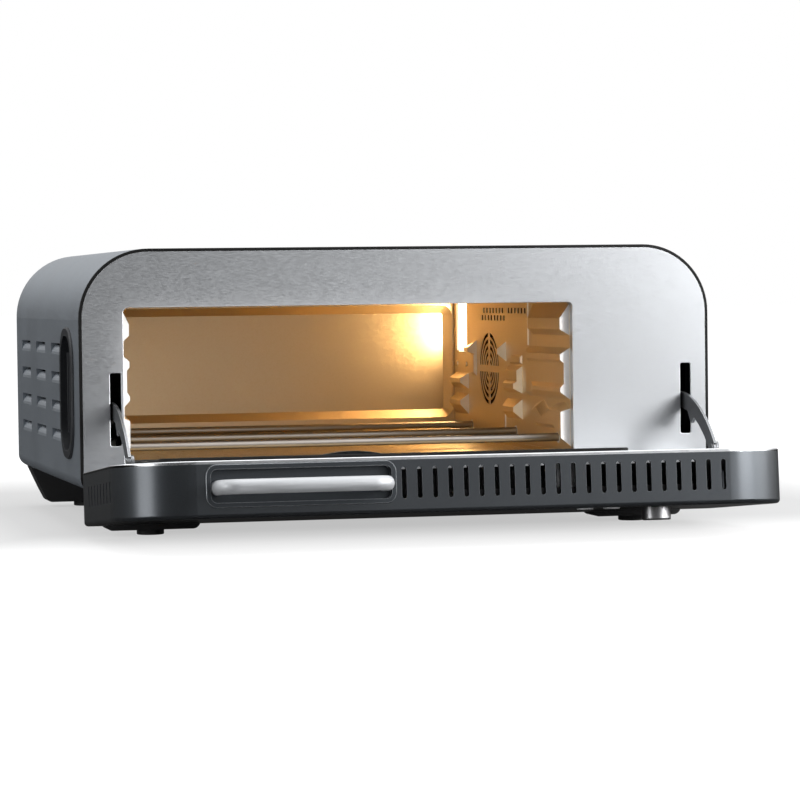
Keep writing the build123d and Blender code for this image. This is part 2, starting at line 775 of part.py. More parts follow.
def make_cavity_floor():
    """Floor of the liner: a flat sheet with three shallow stiffening beads pressed down."""
    floor = block(wall_left + fit_gap, wall_right - fit_gap, cavity_front, cavity_depth - 2 * sheet - fit_gap,
                  floor_low, opening_bottom)
    for number in range(floor_beads):
        y = cavity_front + (number + 1) * (cavity_depth - cavity_front) / (floor_beads + 1)
        bead = plate(wall_left + floor_bead_margin, wall_right - floor_bead_margin,
                     y - floor_bead_width / 2, y + floor_bead_width / 2, floor_bead_width / 2.1)
        floor += along_z(bead, floor_low - floor_bead_depth, floor_low)
        inner = plate(wall_left + floor_bead_margin + sheet, wall_right - floor_bead_margin - sheet,
                      y - floor_bead_width / 2 + sheet, y + floor_bead_width / 2 - sheet,
                      floor_bead_width / 2.1 - sheet)
        floor -= along_z(inner, opening_bottom - floor_bead_depth, opening_bottom + sheet)
    return floor


def make_heater(depth, height):
    """Straight sheathed heating tube with a thin end pin at each side."""
    z = opening_bottom + height
    left = wall_left - heater_past_wall
    right = wall_right + heater_past_wall
    tube = along_x(Pos(depth, z) * Circle(heater_radius), left, right)
    pins = along_x(Pos(depth, z) * Circle(heater_pin_radius), left - heater_pin_length, right + heater_pin_length)
    return tube + pins


def make_heater_bushes():
    """Ceramic bushes that hold the tubes' ends in the side walls."""
    bushes = []
    for depth in heater_depths.values():
        for height in (lower_heater_height, upper_heater_height):
            place = Pos(depth, opening_bottom + height)
            bore = along_x(place * Circle(heater_radius + bush_clearance),
                           -bush_length, bush_length + sheet)
            bush = along_x(place * Circle(bush_radius), sheet + fit_gap, sheet + fit_gap + bush_length)
            bush += along_x(place * Circle(bush_neck_radius), 0, sheet + fit_gap)
            bush -= Pos(sheet, 0, 0) * bore
            bushes.append(Pos(wall_right, 0, 0) * bush)
            bushes.append(Pos(wall_left, 0, 0) * mirror(bush, Plane.YZ))
    return Compound(bushes)


def make_crumb_tray():
    """Shallow pull-out tray with a raised, rounded finger tab at the middle of its front edge."""
    left = opening_left + tray_side_gap
    right = opening_right - tray_side_gap
    back = cavity_depth - sheet - fit_gap - tray_end_gap
    outer = block(left, right, tray_front, back, tray_low, tray_low + tray_rim)
    inner = block(left + thin_sheet, right - thin_sheet, tray_front + thin_sheet, back - thin_sheet,
                  tray_low + thin_sheet, tray_low + 2 * tray_rim)
    middle = Pos(opening_x, tray_low + tray_tab_height - tray_tab_radius) * Circle(tray_tab_radius)
    limit = Pos(opening_x, tray_low + tray_tab_height) * Rectangle(2 * tray_tab_half, 2 * tray_tab_height)
    tab = along_y(middle & limit, tray_front, tray_front + thin_sheet)
    rolled = along_x(Pos(tray_front + thin_sheet / 2, tray_low + tray_rim) * Circle(thin_sheet), left, right)
    return outer - inner + tab + rolled


# Fan, lamp and electric parts behind the right wall

def make_fan_housing():
    """Round dish behind the wall's grille, with a flange that lies on the wall."""
    start = wall_right + sheet
    place = Pos(fan_y, fan_z)
    dish = along_x(place * Circle(fan_housing_radius), start, start + fan_housing_depth)
    dish -= along_x(place * Circle(fan_housing_radius - thin_sheet), start - sheet,
                    start + fan_housing_depth - thin_sheet)
    dish += along_x(place * (Circle(fan_housing_radius + fan_flange) - Circle(fan_housing_radius - thin_sheet)),
                    start, start + thin_sheet)
    return dish - along_x(place * Circle(shaft_hole_radius), start, start + 2 * fan_housing_depth)


def make_fan_impeller():
    """Stirring wheel: back disc, hub and curved blades round the rim, on the motor's shaft."""
    disc_x = wall_right + sheet + impeller_wall_gap + impeller_blade_width
    place = Pos(fan_y, fan_z)
    wheel = along_x(place * Circle(impeller_radius), disc_x, disc_x + thin_sheet)
    wheel += along_x(place * Circle(impeller_hub_radius), disc_x - impeller_hub_length, disc_x)
    inner = impeller_radius * blade_start
    blade_face = Pos((inner + impeller_radius) / 2, 0) * Rectangle(impeller_radius - inner, thin_sheet)
    for number in range(impeller_blades):
        turn = Rot(0, 0, number * 360 / impeller_blades) * Pos(0, blade_offset) * blade_face
        wheel += along_x(place * (turn & Circle(impeller_radius)), disc_x - impeller_blade_width, disc_x)
    shaft = along_x(place * Circle(shaft_radius), disc_x - impeller_hub_length - 2 * thin_sheet,
                    disc_x + shaft_length)
    return wheel + shaft


def motor_face():
    """Where the fan motor starts, behind the dish."""
    return wall_right + sheet + fan_housing_depth + motor_gap


def make_fan_motor():
    """Motor can with a front boss that holds the shaft."""
    start = motor_face()
    place = Pos(fan_y, fan_z)
    can = along_x(place * Circle(motor_radius), start + motor_plate, start + motor_plate + motor_length)
    can = fillet(can.edges().group_by(Axis.X)[-1], motor_edge)
    boss = along_x(place * Circle(motor_boss_radius), start, start + motor_plate)
    bore = along_x(place * Circle(shaft_radius + shaft_clearance), start - sheet, start + motor_bore_depth)
    return can + boss - bore


def make_fan_bracket():
    """Bridge bracket that hangs the motor on the cavity's wall."""
    start = motor_face() + motor_plate
    legs_at = fan_housing_radius + fan_flange
    strap = along_x(plate(fan_y - legs_at - bracket_width / 2, fan_y + legs_at + bracket_width / 2,
                          fan_z - bracket_width / 2, fan_z + bracket_width / 2, 1.0),
                    start - thin_sheet, start)
    strap -= along_x(Pos(fan_y, fan_z) * Circle(motor_boss_radius + fit_gap), start - sheet, start + sheet)
    for side in (-1, 1):
        y = fan_y + side * (legs_at + bracket_width / 2 - thin_sheet / 2)
        strap += block(wall_right + sheet, start, y - thin_sheet / 2, y + thin_sheet / 2,
                       fan_z - bracket_width / 2, fan_z + bracket_width / 2)
    return strap


def make_lamp_glass():
    """Thick pane behind the lamp's window."""
    lap = 2 * (lamp_glass_lap - thin_sheet - fit_gap)
    shape = Pos(lamp_y, lamp_z) * RectangleRounded(lamp_window_width + lap, lamp_window_height + lap, lamp_corner)
    start = wall_right + sheet
    return along_x(shape, start, start + lamp_glass_thickness)


def make_lamp_housing():
    """Sheet box behind the lamp's glass, open towards the cavity, with a hole for the lamp holder."""
    start = wall_right + sheet
    half_y = lamp_window_width / 2 + lamp_glass_lap
    half_z = lamp_window_height / 2 + lamp_glass_lap
    box = block(start, start + lamp_housing_depth, lamp_y - half_y, lamp_y + half_y, lamp_z - half_z, lamp_z + half_z)
    box -= block(start - sheet, start + lamp_housing_depth - thin_sheet, lamp_y - half_y + thin_sheet,
                 lamp_y + half_y - thin_sheet, lamp_z - half_z + thin_sheet, lamp_z + half_z - thin_sheet)
    holder = along_z(Pos(start + lamp_housing_depth / 2, lamp_y) * Circle(socket_radius), lamp_z - 2 * half_z, lamp_z)
    return box - holder


def make_lamp_socket():
    """Ceramic lamp holder in the floor of the lamp box."""
    x = wall_right + sheet + lamp_housing_depth / 2
    low = lamp_z - lamp_window_height / 2 - lamp_glass_lap
    body = along_z(Pos(x, lamp_y) * Circle(socket_radius - fit_gap), low - socket_length / 2, low + socket_length / 2)
    body += along_z(Pos(x, lamp_y) * Circle(socket_radius + sheet), low - socket_length / 2, low - fit_gap)
    return body


def make_lamp_bulb():
    """Small oven bulb that stands in the lamp holder."""
    x = wall_right + sheet + lamp_housing_depth / 2
    low = lamp_z - lamp_window_height / 2 - lamp_glass_lap + socket_length / 2
    profile = Polyline((0, 0), (bulb_radius * 0.55, 0), (bulb_radius * 0.55, bulb_length * 0.2),
                       (bulb_radius, bulb_length * 0.45), (bulb_radius, bulb_length * 0.75),
                       (bulb_radius * 0.6, bulb_length * 0.96), (0, bulb_length), close=True)
    face = Plane((x, lamp_y, low), (1, 0, 0), (0, -1, 0)) * make_face(profile)
    return revolve(face, Axis((x, lamp_y, low), (0, 0, 1)))


def make_power_board():
    """Power board on four posts over the base, with its larger components."""
    low = sheet
    board = block(board_x, board_x + board_width, board_y, board_y + board_length,
                  low + board_post, low + board_post + board_thickness)
    inset = board_post_radius + 2 * fit_gap
    for x in (board_x + inset, board_x + board_width - inset):
        for y in (board_y + inset, board_y + board_length - inset):
            board += along_z(Pos(x, y) * Circle(board_post_radius), low, low + board_post)
    top = low + board_post + board_thickness
    for left, front, width, length, height in board_cans:
        board += block(board_x + left, board_x + left + width, board_y + front, board_y + front + length,
                       top, top + height)
    place = Pos(board_x + board_coil[0], board_y + board_coil[1])
    return board + along_z(place * Circle(board_coil[2]), top, top + board_coil[3])


def make_terminal_block():
    """Mains terminal strip on the base, between the cord's gland and the board."""
    strip = block(terminal_x, terminal_x + terminal_width, terminal_y, terminal_y + terminal_length,
                  sheet, sheet + terminal_height)
    for number in range(terminal_ways):
        x = terminal_x + (number + 0.5) * terminal_width / terminal_ways
        strip -= along_z(Pos(x, terminal_y + terminal_length / 2) * Circle(terminal_hole), terminal_height / 2,
                         2 * terminal_height)
    return strip


def make_cord_gland():
    """Plastic bush in the rear cover where a supply cord would enter."""
    start = body_depth + rear_field_depth
    place = Pos(gland_x, gland_z)
    gland = along_y(place * Circle(gland_radius + gland_flange), start, start + gland_flange_height)
    gland = fillet(gland.edges().group_by(Axis.Y)[-1], gland_flange_height / 3)
    gland += along_y(place * Circle(gland_radius - fit_gap), start - gland_neck, start)
    return gland - along_y(place * Circle(gland_bore), start - 2 * gland_neck, start + 2 * gland_neck)


def make_roof_blanket():
    """Mineral wool over the liner's roof."""
    low = cavity_roof + roof_gap + sheet
    return block(wall_left, wall_right, cavity_front + blanket_gap, cavity_depth, low, low + blanket_thickness)


def make_thermal_cutout():
    """Disc thermostat on the outside of the right wall."""
    start = wall_right + sheet
    place = Pos(cutout_y, cutout_z)
    disc = along_x(place * Circle(cutout_radius), start, start + cutout_height)
    foot = along_x(place * RectangleRounded(3 * cutout_radius, cutout_radius, 3.0), start, start + thin_sheet)
    for side in (-1, 1):
        middle = cutout_y + side * cutout_radius / 2
        disc += block(start + cutout_height, start + cutout_height + cutout_tab, middle - thin_sheet / 2,
                      middle + thin_sheet / 2, cutout_z - cutout_tab / 2, cutout_z + cutout_tab / 2)
    return disc + foot


def hinge_plate_face():
    """Side view of a hinge bracket: an eye in front and a bar that runs back under the base."""
    eye = Pos(hinge_y, hinge_z) * Circle(hinge_eye_radius)
    low = hinge_z - hinge_eye_radius
    bar = plate(hinge_y, hinge_foot_length, low, 0, 0.5)
    return eye + bar


def hinge_screw_spots():
    """Where the hinge brackets' feet are screwed to the base."""
    return [(side * hinge_x + shift, y) for side in (-1, 1) for shift in (-hinge_screw_shift, hinge_screw_shift)
            for y in hinge_screw_depths]


def make_hinge_brackets():
    """Two steel brackets under the front edge, each with an eye for the door's pin."""
    brackets = []
    for side in (-1, 1):
        x = side * hinge_x
        plate_part = along_x(hinge_plate_face(), x - hinge_plate / 2, x + hinge_plate / 2)
        foot = block(x - hinge_foot_width / 2, x + hinge_foot_width / 2, hinge_front, hinge_foot_length,
                     -hinge_plate, 0)
        bore = along_x(Pos(hinge_y, hinge_z) * Circle(hinge_pin_radius + hinge_clearance),
                       x - hinge_plate, x + hinge_plate)
        bracket = plate_part + foot - bore
        for spot_x, spot_y in hinge_screw_spots():
            bracket -= screw_hole(spot_x, spot_y, -hinge_plate, (0, 0, 1), hinge_plate)
        brackets.append(bracket)
    return Compound(brackets)


def guide_height():
    """Height of the guide stud's centre, a small gap under the resting arm's lower edge."""
    angle = radians(arm_start_angle)
    rest_pin = rest_arm_pin()
    centre_y = rest_pin[0] + arm_bend_radius * sin(angle)
    centre_z = rest_pin[1] - arm_bend_radius * cos(angle)
    lower = arm_bend_radius - arm_half_width
    edge = centre_z + sqrt(lower ** 2 - (guide_y - centre_y) ** 2)
    return edge - guide_gap - guide_radius


def rest_arm_pin():
    """Place of the arm's pin, in depth and height, with the door at rest."""
    turn = radians(closing_angle)
    dy = arm_pin_y - hinge_y
    dz = arm_pin_z - hinge_z
    return (hinge_y + dy * cos(turn) - dz * sin(turn), hinge_z + dy * sin(turn) + dz * cos(turn))


def make_arm_guides():
    """Two brackets behind the panel, each with a stud that the door arm rides on."""
    guides = []
    for centre in (arm_slot_left, arm_slot_right):
        stud = along_x(Pos(guide_y, guide_height()) * Circle(guide_radius), centre - guide_plate_offset,
                       centre + arm_offset)
        far = centre - guide_plate_offset
        web = along_x(plate(sheet, guide_y + 2 * guide_radius, arm_slot_low - guide_foot,
                            guide_height() + 2 * guide_radius, 2.0), far - sheet, far)
        tab = block(far - sheet, far + guide_foot / 2, sheet, 2 * sheet,
                    arm_slot_low - guide_foot, arm_slot_low - sheet)
        guides.append(stud + web + tab)
    return Compound(guides)


# Door, drawn shut

def hinge_relief():
    """What the hinge brackets sweep inside the door."""
    reach = hinge_eye_radius + hinge_slot_gap
    cuts = []
    for side in (-1, 1):
        half = hinge_plate / 2 + hinge_slot_gap
        cuts.append(block(side * hinge_x - half, side * hinge_x + half, hinge_y - reach, door_inner + 1,
                          door_low - 1, hinge_z + reach))
    return cuts


def rounded_foot():
    """What a swing about the hinge cuts off the door's lower inner corner."""
    square = Pos(hinge_y + rim_to_axis / 2, hinge_z - rim_to_axis / 2) * Rectangle(rim_to_axis, rim_to_axis)
    square += Pos(hinge_y + rim_to_axis, hinge_z - rim_to_axis / 2) * Rectangle(rim_to_axis, rim_to_axis)
    corner = square - Pos(hinge_y, hinge_z) * Circle(rim_to_axis)
    return along_x(corner, -half_width - 1, half_width + 1)


def vent_slots():
    """Round-ended slots in the door's top edge and both of its sides."""
    cuts = []
    slot = Rot(0, 0, 90) * SlotOverall(vent_length, vent_width)
    for number in range(vent_count):
        place = Pos(vent_first_x + number * vent_pitch, door_inner - vent_from_rim)
        cuts.append(along_z(place * slot, door_high - 2 * door_wall, door_high + door_wall))
    side_slot = SlotOverall(side_vent_length, side_vent_width)
    for number in range(side_vent_count):
        place = Pos(door_inner - vent_from_rim, side_vent_first_z + number * side_vent_pitch)
        for side in (-1, 1):
            near = side * (half_width - 2 * door_wall)
            far = side * (half_width + door_wall)
            cuts.append(along_x(place * side_slot, min(near, far), max(near, far)))
    return cuts


def make_door_shell():
    """Deep rim of the door with a narrow front flange that frames the outer glass."""
    back = door_inner - inner_lip
    rim = along_y(door_outline(0), door_outer, back)
    rim = fillet(rim.faces().sort_by(Axis.Y)[0].edges(), door_edge_radius)
    rim -= along_y(door_outline(door_wall), door_outer + glass_thickness, back + 1)
    rim -= along_y(door_outline(fascia_rim), door_outer - 1, back + 1)
    rim -= along_z(handle_pocket(0), door_high - 2 * door_wall, door_high + door_wall)
    return rim - vent_slots() - hinge_relief() - rounded_foot()


def handle_pocket(inset):
    """Outline of the handle's plate in the door's top edge."""
    return Pos(handle_x, door_inner - handle_from_rim + handle_plate_shift) * RectangleRounded(
        handle_plate_width - 2 * inset, handle_plate_height - 2 * inset, handle_plate_radius - inset)


def plug_outline(inset):
    """Outline of the raised frame that enters the cavity's opening when the door is shut."""
    gap = plug_gap + inset
    return plate(opening_left + gap, opening_right - gap, opening_bottom + gap, opening_top - gap,
                 max(plug_radius - inset, plug_inner_radius))


def make_door_inner_panel():
    """Stainless inside of the door: a flat sheet with a thick rolled rim and the glass's hole."""
    panel = along_y(door_outline(0), door_inner - inner_lip, door_inner)
    panel = fillet(panel.faces().sort_by(Axis.Y)[-1].edges(), inner_edge)
    panel -= along_y(door_outline(door_wall), door_inner - inner_lip - 1, door_inner - inner_sheet)
    panel -= along_y(plug_outline(plug_width), door_inner - 2 * inner_lip, door_inner + 1)
    return panel - hinge_relief() - rounded_foot()


def make_window_seal():
    """Black heat-proof frame that clamps the inner glass and seals the opening."""
    front = door_inner + plug_height - seal_cap
    seal = along_y(plug_outline(0) - plug_outline(glass_seat - fit_gap), door_inner, front)
    cap = along_y(plug_outline(0) - plug_outline(plug_width), front, door_inner + plug_height)
    cap = chamfer(cap.faces().sort_by(Axis.Y)[-1].edges(), seal_edge)
    return seal + cap


def make_inner_glass():
    """Inner pane, clamped between the panel's edge and the frame."""
    return along_y(plug_outline(glass_seat), door_inner, door_inner + plug_height - seal_cap)


def control_holes(extra):
    """Round holes in the outer glass for the knob's shaft and the buttons."""
    holes = [along_y(Pos(knob_x, control_z) * Circle(encoder_shaft_radius + 1 + extra), door_outer - 1,
                     door_outer + 2 * glass_thickness)]
    for x in button_x.values():
        holes.append(along_y(Pos(x, control_z) * Circle(button_radius + button_clearance + extra),
                             door_outer - 1, door_outer + 2 * glass_thickness))
    return holes


def make_door_fascia():
    """Outer glass of the door, set into the rim, with holes for the controls."""
    pane = along_y(door_outline(fascia_rim + fit_gap), door_outer, door_outer + glass_thickness)
    pane = chamfer(pane.faces().sort_by(Axis.Y)[0].edges(), fascia_edge)
    window = plate(display_x - display_width / 2, display_x + display_width / 2,
                   control_z - display_height / 2, control_z + display_height / 2, 2.0)
    return pane - control_holes(0) - along_y(window, door_outer - 1, door_outer + 2 * glass_thickness)


def make_display_lens():
    """Smoked lens over the display, flush with the glass, with a flange behind it."""
    inset = fit_gap / 2
    lens = plate(display_x - display_width / 2 + inset, display_x + display_width / 2 - inset,
                 control_z - display_height / 2 + inset, control_z + display_height / 2 - inset, 2.0)
    flange = plate(display_x - display_width / 2 - 3, display_x + display_width / 2 + 3,
                   control_z - display_height / 2 - 3, control_z + display_height / 2 + 3, 3.0)
    back = door_outer + glass_thickness
    return along_y(lens, door_outer, back) + along_y(flange, back, back + thin_sheet)


def make_control_board():
    """Circuit board behind the outer glass, with display module, switches and encoder."""
    front = door_outer + glass_thickness + control_gap
    outline = plate(board_left, board_right, control_z - board_half_height, control_z + board_half_height, 2.0)
    board = along_y(outline, front, front + board_thickness)
    board += along_y(Pos(display_x, control_z) * Rectangle(display_width, display_height),
                     door_outer + glass_thickness + thin_sheet, front)
    for x in button_x.values():
        board += along_y(Pos(x, control_z) * Rectangle(switch_width, switch_width), front - switch_height, front)
    encoder = along_y(Pos(knob_x, control_z) * Rectangle(encoder_width, encoder_width),
                      front - encoder_height, front)
    shaft = along_y(Pos(knob_x, control_z) * Circle(encoder_shaft_radius), door_outer - knob_height / 2, front)
    return board + encoder + shaft


def make_board_carrier():
    """Plastic frame that holds the control board against the back of the outer glass."""
    front = door_outer + glass_thickness
    back = front + control_gap + board_thickness
    left = board_left - fit_gap
    right = board_right + fit_gap
    low = control_z - board_half_height - fit_gap
    high = control_z + board_half_height + fit_gap
    outer = plate(left - carrier_wall, right + carrier_wall, low - carrier_wall, high + carrier_wall, carrier_wall)
    ring = along_y(outer - plate(left, right, low, high, 1.0), front, back)
    rails = outer - plate(left, right, low + carrier_ledge, high - carrier_ledge, 1.0)
    return ring + along_y(rails, back, back + carrier_rail)


def make_control_knob():
    """Turned metal knob with a blind bore for the encoder's shaft."""
    front = door_outer - knob_face_gap - knob_height
    place = Pos(knob_x, control_z)
    knob = along_y(place * Circle(knob_radius), front, door_outer - knob_face_gap)
    knob = fillet(knob.edges().group_by(Axis.Y)[0], knob_edge)
    dish = along_y(place * Circle(knob_radius - 2 * knob_edge), front - 1, front + knob_dish)
    bore_end = door_outer - knob_height / 2 - fit_gap
    bore = along_y(place * Circle(encoder_shaft_radius + shaft_clearance), bore_end, door_outer)
    mark = along_y(Pos(knob_x, control_z + knob_radius * 0.55) * Rectangle(1.0, knob_radius * 0.5),
                   front, front + knob_dish + 0.5)
    return knob - dish - bore - mark


def make_button(x):
    """Round push button whose stem ends over its switch."""
    place = Pos(x, control_z)
    front = door_outer - button_proud
    cap = along_y(place * Circle(button_radius), front, door_outer + glass_thickness)
    cap = fillet(cap.edges().group_by(Axis.Y)[0], button_edge)
    flange_at = door_outer + glass_thickness + button_clearance
    flange = along_y(place * Circle(button_radius + 1.2), flange_at, flange_at + 1.0)
    stem_end = door_outer + glass_thickness + control_gap - switch_height - button_travel - 0.1
    neck = along_y(place * Circle(button_radius), door_outer + glass_thickness, flange_at)
    stem = along_y(place * Circle(button_stem_radius), flange_at, stem_end)
    return cap + neck + flange + stem


def make_handle_plate():
    """Dished plate in the door's top edge behind the bar."""
    cap = along_z(handle_pocket(-handle_plate_lap), door_high, door_high + handle_plate_proud)
    cap = chamfer(cap.faces().sort_by(Axis.Z)[-1].edges(), handle_plate_proud / 2)
    cup = along_z(handle_pocket(fit_gap), door_high - handle_recess - sheet, door_high)
    dish = along_z(handle_pocket(handle_plate_rim), door_high - handle_recess, door_high + door_wall)
    return cap + cup - dish


def make_handle_bar():
    """Brushed bar bent from one rod, slightly arched, with both ends turned into the plate."""
    y = door_inner - handle_from_rim
    foot_z = door_high - handle_recess
    half = handle_span / 2
    crown_z = door_high + handle_reach
    centre_z = crown_z - handle_top_radius
    bend_x = half - handle_bend
    bend_z = centre_z + sqrt((handle_top_radius - handle_bend) ** 2 - bend_x ** 2)
    lean = atan2(bend_z - centre_z, bend_x)
    halfway = lean / 2

    def on_bend(side, angle):
        return (handle_x + side * (bend_x + handle_bend * cos(angle)), bend_z + handle_bend * sin(angle))

    edges = [Line((handle_x - half, foot_z), (handle_x - half, bend_z)),
             ThreePointArc((handle_x - half, bend_z), on_bend(-1, halfway), on_bend(-1, lean)),
             ThreePointArc(on_bend(-1, lean), (handle_x, crown_z), on_bend(1, lean)),
             ThreePointArc(on_bend(1, lean), on_bend(1, halfway), (handle_x + half, bend_z)),
             Line((handle_x + half, bend_z), (handle_x + half, foot_z))]
    spine = Plane((0, y, 0), (1, 0, 0), (0, -1, 0)) * Wire(edges)
    section = Plane((handle_x - half, y, foot_z), (1, 0, 0), (0, 0, 1)) * Ellipse(
        handle_bar_thickness / 2, handle_bar_width / 2)
    return sweep(section, path=spine)


def make_hinge_blocks():
    """Two blocks inside the door's lower edge, slotted for the brackets and bored for the pins."""
    blocks = []
    low = door_low + door_wall
    high = hinge_z + hinge_eye_radius + hinge_slot_gap + 5
    for side in (-1, 1):
        x = side * hinge_x
        half = hinge_block_width / 2
        solid = block(x - half, x + half, hinge_y - hinge_eye_radius - 6, door_inner - inner_lip, low, high)
        bore = along_x(Pos(hinge_y, hinge_z) * Circle(hinge_pin_radius), x - 2 * half, x + 2 * half)
        blocks.append(solid - hinge_relief() - bore - rounded_foot())
    return Compound(blocks)


def make_hinge_pins():
    """Steel pins through the blocks and the brackets' eyes."""
    half = hinge_block_width / 2
    pins = [along_x(Pos(hinge_y, hinge_z) * Circle(hinge_pin_radius), side * hinge_x - half, side * hinge_x + half)
            for side in (-1, 1)]
    return Compound(pins)


def make_arm_brackets():
    """Small plates riveted to the door's inner panel, each with the arm's pin."""
    brackets = []
    for centre in (arm_slot_left, arm_slot_right):
        near = centre + arm_gap / 2
        base_low = arm_pin_z - bracket_foot
        base_high = arm_pin_z + bracket_foot
        ear = Pos(arm_pin_y, arm_pin_z) * Circle(bracket_ear_radius)
        ear += plate(door_inner, arm_pin_y, arm_pin_z - bracket_ear_radius, arm_pin_z + bracket_ear_radius, 0.5)
        solid = along_x(ear, near, near + arm_sheet)
        solid += block(near, near + bracket_flange, door_inner, door_inner + arm_sheet / 2, base_low, base_high)
        head_at = near - arm_gap - arm_sheet - fit_gap
        pin = along_x(Pos(arm_pin_y, arm_pin_z) * Circle(arm_pin_radius), head_at - arm_head_height, near)
        head = along_x(Pos(arm_pin_y, arm_pin_z) * Circle(arm_pin_head), head_at - arm_head_height, head_at)
        brackets.append(solid + pin + head)
    return Compound(brackets)


def make_arm(centre):
    """Curved flat arm: boss at the door's pin, a stop tooth below and a hook at its far end."""
    pin_y, pin_z = rest_arm_pin()
    start = radians(arm_start_angle)
    middle_y = pin_y + arm_bend_radius * sin(start)
    middle_z = pin_z - arm_bend_radius * cos(start)

    hook_y = guide_y + guide_radius + 2 * guide_gap
    arm_length = arm_bend_radius * (start - asin((middle_y - hook_y - arm_hook_width) / arm_bend_radius))

    def spot(length, side):
        angle = start - length / arm_bend_radius
        reach = arm_bend_radius + side
        return (middle_y - reach * sin(angle), middle_z + reach * cos(angle))

    upper = ThreePointArc(spot(0, arm_half_width), spot(arm_length / 2, arm_half_width),
                          spot(arm_length, arm_half_width))
    lower = ThreePointArc(spot(0, -arm_half_width), spot(arm_length / 2, -arm_half_width),
                          spot(arm_length, -arm_half_width))
    face = make_face([upper, Line(upper @ 1, lower @ 1), lower, Line(lower @ 0, upper @ 0)])
    face += Pos(pin_y, pin_z) * Circle(arm_boss_radius)
    tooth = [spot(arm_tooth_at + along, -arm_half_width - drop * arm_tooth_drop) for along, drop in arm_tooth]
    face += make_face(Polyline(*tooth, close=True))
    end = spot(arm_length, 0)
    face += plate(hook_y, end[0], guide_height() - arm_hook_drop / 2, end[1], sheet)
    face -= Pos(pin_y, pin_z) * Circle(arm_pin_radius + arm_pin_clearance)
    near = centre - arm_gap / 2 - arm_sheet
    return along_x(face, near, near + arm_sheet)


# Screws that show

def make_rear_screws():
    """Screws along the rear cover's edge."""
    return Compound([screw(x, body_depth, z, (0, -1, 0), panel_return - sheet) for x, z in rear_screw_spots()])


def make_hinge_screws():
    """Screws that hold the hinge brackets' feet from below."""
    return Compound([screw(x, y, -hinge_plate, (0, 0, 1), hinge_plate - fit_gap) for x, y in hinge_screw_spots()])


def lay_open(piece):
    """Turns a piece of the shut door about the hinge to the place where the door rests open."""
    return piece.rotate(hinge_axis, closing_angle)


fixed_parts = {
    "outer_wrap": make_outer_wrap(),
    "front_trim": make_front_trim(),
    "front_panel": make_front_panel(),
    "rear_panel": make_rear_panel(),
    "base_pan": make_base_pan(),
    "foot_blocks": make_foot_blocks(),
    "foot_pads": make_foot_pads(),
    "left_grip": make_grip(-1),
    "right_grip": make_grip(1),
    "cavity_left_wall": make_side_wall(-1),
    "cavity_right_wall": make_right_wall(),
    "cavity_back": make_cavity_back(),
    "cavity_roof": make_cavity_roof(),
    "cavity_floor": make_cavity_floor(),
    "heater_bushes": make_heater_bushes(),
    "crumb_tray": make_crumb_tray(),
    "fan_housing": make_fan_housing(),
    "fan_impeller": make_fan_impeller(),
    "fan_motor": make_fan_motor(),
    "fan_bracket": make_fan_bracket(),
    "lamp_glass": make_lamp_glass(),
    "lamp_housing": make_lamp_housing(),
    "lamp_socket": make_lamp_socket(),
    "lamp_bulb": make_lamp_bulb(),
    "power_board": make_power_board(),
    "terminal_block": make_terminal_block(),
    "cord_gland": make_cord_gland(),
    "roof_blanket": make_roof_blanket(),
    "thermal_cutout": make_thermal_cutout(),
    "hinge_brackets": make_hinge_brackets(),
    "arm_guides": make_arm_guides(),
    "rear_screws": make_rear_screws(),
    "hinge_screws": make_hinge_screws(),
    "left_door_arm": make_arm(arm_slot_left),
    "right_door_arm": make_arm(arm_slot_right),
}
for place, depth in heater_depths.items():
    fixed_parts["lower_heater_" + place] = make_heater(depth, lower_heater_height)
    fixed_parts["upper_heater_" + place] = make_heater(depth, upper_heater_height)

door_parts = {
    "door_shell": make_door_shell(),
    "door_inner_panel": make_door_inner_panel(),
    "window_seal": make_window_seal(),
    "inner_glass": make_inner_glass(),
    "door_fascia": make_door_fascia(),
    "display_lens": make_display_lens(),
    "control_board": make_control_board(),
    "board_carrier": make_board_carrier(),
    "control_knob": make_control_knob(),
    "handle_plate": make_handle_plate(),
    "handle_bar": make_handle_bar(),
    "hinge_blocks": make_hinge_blocks(),
    "hinge_pins": make_hinge_pins(),
    "arm_brackets": make_arm_brackets(),
}
for name, x in button_x.items():
    door_parts[name] = make_button(x)

parts = dict(fixed_parts)
for name, piece in door_parts.items():
    parts[name] = lay_open(piece)

# The origin goes under the middle of the whole object, on the surface that it stands on.
whole = Compound(list(parts.values())).bounding_box()
to_base = Pos(-(whole.min.X + whole.max.X) / 2, -(whole.min.Y + whole.max.Y) / 2, -whole.min.Z)

os.makedirs("parts", exist_ok=True)
for name, piece in parts.items():
    export_step(to_base * piece, "parts/" + name + ".step")
print("pieces", len(parts), "moved by", to_base.position)
print("door swings", closing_angle, "degrees; each arm turns", arm_ratio, "times as far on the door")
print("crumb tray slides", tray_travel, "mm along the open door")
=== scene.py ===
from math import cos, radians, sin

import bpy
import numpy as np
from mathutils import Matrix, Vector


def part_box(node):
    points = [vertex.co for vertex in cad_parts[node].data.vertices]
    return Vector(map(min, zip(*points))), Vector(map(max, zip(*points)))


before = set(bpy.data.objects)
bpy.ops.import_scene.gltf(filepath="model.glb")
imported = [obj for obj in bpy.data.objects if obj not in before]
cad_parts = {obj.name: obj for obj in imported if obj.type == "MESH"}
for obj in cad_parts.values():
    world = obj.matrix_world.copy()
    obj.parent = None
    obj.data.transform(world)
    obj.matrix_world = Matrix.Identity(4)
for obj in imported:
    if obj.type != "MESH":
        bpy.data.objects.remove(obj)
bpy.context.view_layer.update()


# Camera. It stands a little to the left of the oven and just over the height of its roof, far off, so that
# the drop-down door is seen almost edge-on and the cavity shows its back and its right wall.
mm = 0.001
camera_place = Vector((-572.8, -2459.85, 182.2)) * mm
turn, dip, roll = -0.2367, 0.0337, -0.0123
sensor_width = 36.0
focal_length = 141.86
farthest_seen = 100.0

